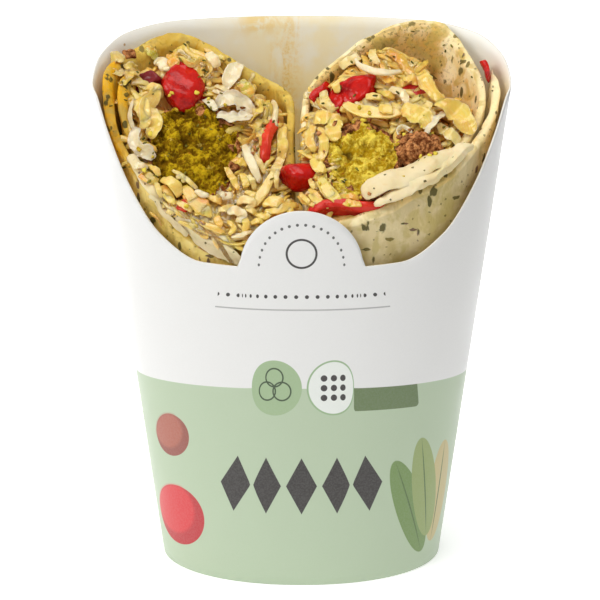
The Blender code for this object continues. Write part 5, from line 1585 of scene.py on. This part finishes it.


# ---------------------------------------------------------------- folded ends of the bread
# Thickness and cup, then knots of (x, y, lift, width, turn) as for the strips laid one by one.
FOLDS = {
    "left": (
        (1.4, 0, (-464, -100, 2, 23), (-436, -134, 6, 34), (-406, -165, 7, 38), (-375, -193, 7, 38),
         (-351, -215, 3, 28)),
        (1.4, 0, (-416, -191, 1, 23), (-389, -219, 6, 37), (-359, -243, 7, 43), (-329, -265, 3, 31)),
        (1.2, 0, (-359, -237, 1, 46), (-315, -262, 6, 81), (-263, -279, 7, 91), (-212, -293, 6, 81),
         (-168, -304, 2, 46)),
    ),
    "right": (
        (2.2, -0.03, (166, -216, 3, 38, -4), (198, -207, 10, 64, -6), (250, -195, 14, 72, -8),
         (301, -182, 15, 71, -8), (353, -168, 14, 64, -8), (398, -153, 11, 54, -6), (432, -137, 5, 38, -4)),
        (1.8, -0.02, (198, -245, 2, 23, -2), (225, -238, 6, 34, -4), (262, -227, 9, 40, -4),
         (302, -216, 10, 43, -4), (342, -209, 10, 45, -4), (382, -196, 12, 48, -6), (411, -180, 15, 57, -8),
         (436, -158, 19, 64, -8), (451, -136, 19, 58, -6)),
    ),
}


def make_folds(roll, under):
    """The torn inner end of the bread, folded over on itself in soft layers."""
    face = CutFace(roll, 3)
    face.see(under)
    face.lowest, face.highest = (-0.4 if roll == "right" else -2.0), 1.2
    heap = Heap()
    for thick, cup, *knots in FOLDS[roll]:
        spots, lift, width, turn = face.trace(knots, 8 * len(knots) + 4)
        face.lay(heap, spots, width, thick, lift=lift, turn=turn, cup=cup, lumps=0.16, columns=28, sink=0.5,
                 square=0.9, ragged=0.1, crumple=0.4, blunt=0.05, slant=0.25, edge=0.7, inner=0.25, drop=6.0,
                 cup_x=0.0)
    return heap_piece(f"bread_folds_{roll}", heap, flat_bread("folds"))


# ---------------------------------------------------------------- stage, light and camera
LOOK_DOWN = math.radians(20.0)
LOOK_FROM = 750.0                         # from the point aimed at
LOOK_AT = (-0.42, SHIFT_Y, 75.7)
LENS, SENSOR = 160.8, 36.0
LIT = Vector((0.0, 0.0, 0.09))            # metres, as are the floor's measures and the lamps' places
FLOOR_FRONT, FLOOR_BACK, FLOOR_HALF, SWEEP = -2.5, 0.9, 3.0, 0.6


def show(name, data, place=(0.0, 0.0, 0.0), turn=(0.0, 0.0, 0.0)):
    """Put something in the scene."""
    thing = bpy.data.objects.new(name, data)
    thing.location, thing.rotation_euler = place, turn
    bpy.context.scene.collection.objects.link(thing)
    return thing


def make_camera():
    made = bpy.data.cameras.new("camera")
    made.lens, made.sensor_width = LENS, SENSOR
    made.clip_end = 10.0
    away = Vector((0.0, -math.cos(LOOK_DOWN), math.sin(LOOK_DOWN)))
    place = (Vector(LOOK_AT) + away * LOOK_FROM) * MM
    bpy.context.scene.camera = show("camera", made, place, (math.pi / 2 - LOOK_DOWN, 0.0, 0.0))


def make_light(name, place, size, power, colour=(1.0, 1.0, 1.0)):
    """A soft square lamp that faces the food."""
    made = bpy.data.lights.new(name, "AREA")
    made.size, made.energy, made.color = size, power, colour
    show(name, made, place, (LIT - Vector(place)).to_track_quat("-Z", "Y").to_euler())


def make_stage():
    """Pale floor that sweeps up into a backdrop."""
    profile = [(FLOOR_FRONT, 0.0), (FLOOR_BACK, 0.0)]
    profile += [(FLOOR_BACK + SWEEP * math.sin(turn), SWEEP - SWEEP * math.cos(turn))
                for turn in np.linspace(0.1, math.pi / 2, 12)]
    profile.append((FLOOR_BACK + SWEEP, FLOOR_HALF))
    points = [(x, y, z) for y, z in profile for x in (-FLOOR_HALF, FLOOR_HALF)]
    faces = [(2 * i, 2 * i + 1, 2 * i + 3, 2 * i + 2) for i in range(len(profile) - 1)]
    mesh = bpy.data.meshes.new("floor")
    mesh.from_pydata(points, [], faces)
    mesh.polygons.foreach_set("use_smooth", np.ones(len(faces), bool))
    look = Look("floor", Roughness=0.9, Emission_Color=(1.0, 1.0, 1.0))
    x, y, _z = look.parts(look.where)
    look.colour = look.mix(look.noise(60.0, 2.0), (0.90, 0.90, 0.90), (0.93, 0.93, 0.93))
    look.over(look.span(x, 0.22, 0.5), (0.2, 0.2, 0.2))
    glow = look.span(y, -0.25, 0.3, 0.12, 0.75) * look.span(x, 0.6, 0.2, 0.0, 1.0)
    mesh.materials.append(look.done(Emission_Strength=glow))
    show("floor", mesh)


def make_world():
    """Even white light from all round."""
    world = bpy.data.worlds.new("studio")
    world.use_nodes = True
    sky = world.node_tree.nodes["Background"].inputs
    sky["Color"].default_value, sky["Strength"].default_value = (1.0, 1.0, 1.0, 1.0), 0.36
    bpy.context.scene.world = world
    bpy.context.scene.view_settings.view_transform = "Standard"


# ---------------------------------------------------------------- the whole
for old in list(bpy.data.objects):
    if old.type in {"CAMERA", "LIGHT"} or old.name == "Cube":
        bpy.data.objects.remove(old, do_unlink=True)

make_camera()
make_world()
make_stage()
make_light("key", (-0.8, -0.55, 0.75), 0.45, 4.5, (1.0, 0.985, 0.96))
make_light("top", (0.0, -0.25, 1.2), 0.8, 7.4)
make_carton()
under = {roll: [make_bread(roll, f"bread_{roll}"), make_core(roll, f"sauce_{roll}")] for roll in ROLLS}
for entry in FALAFEL:
    under[entry[1]].append(make_falafel(*entry))
for red, shape in RED_PIECES.items():
    under[shape[0]].append(make_red(red, *shape))
for roll in ROLLS:
    under[roll].append(make_folds(roll, under[roll]))
for roll in ROLLS:
    make_shreds(roll, under[roll])
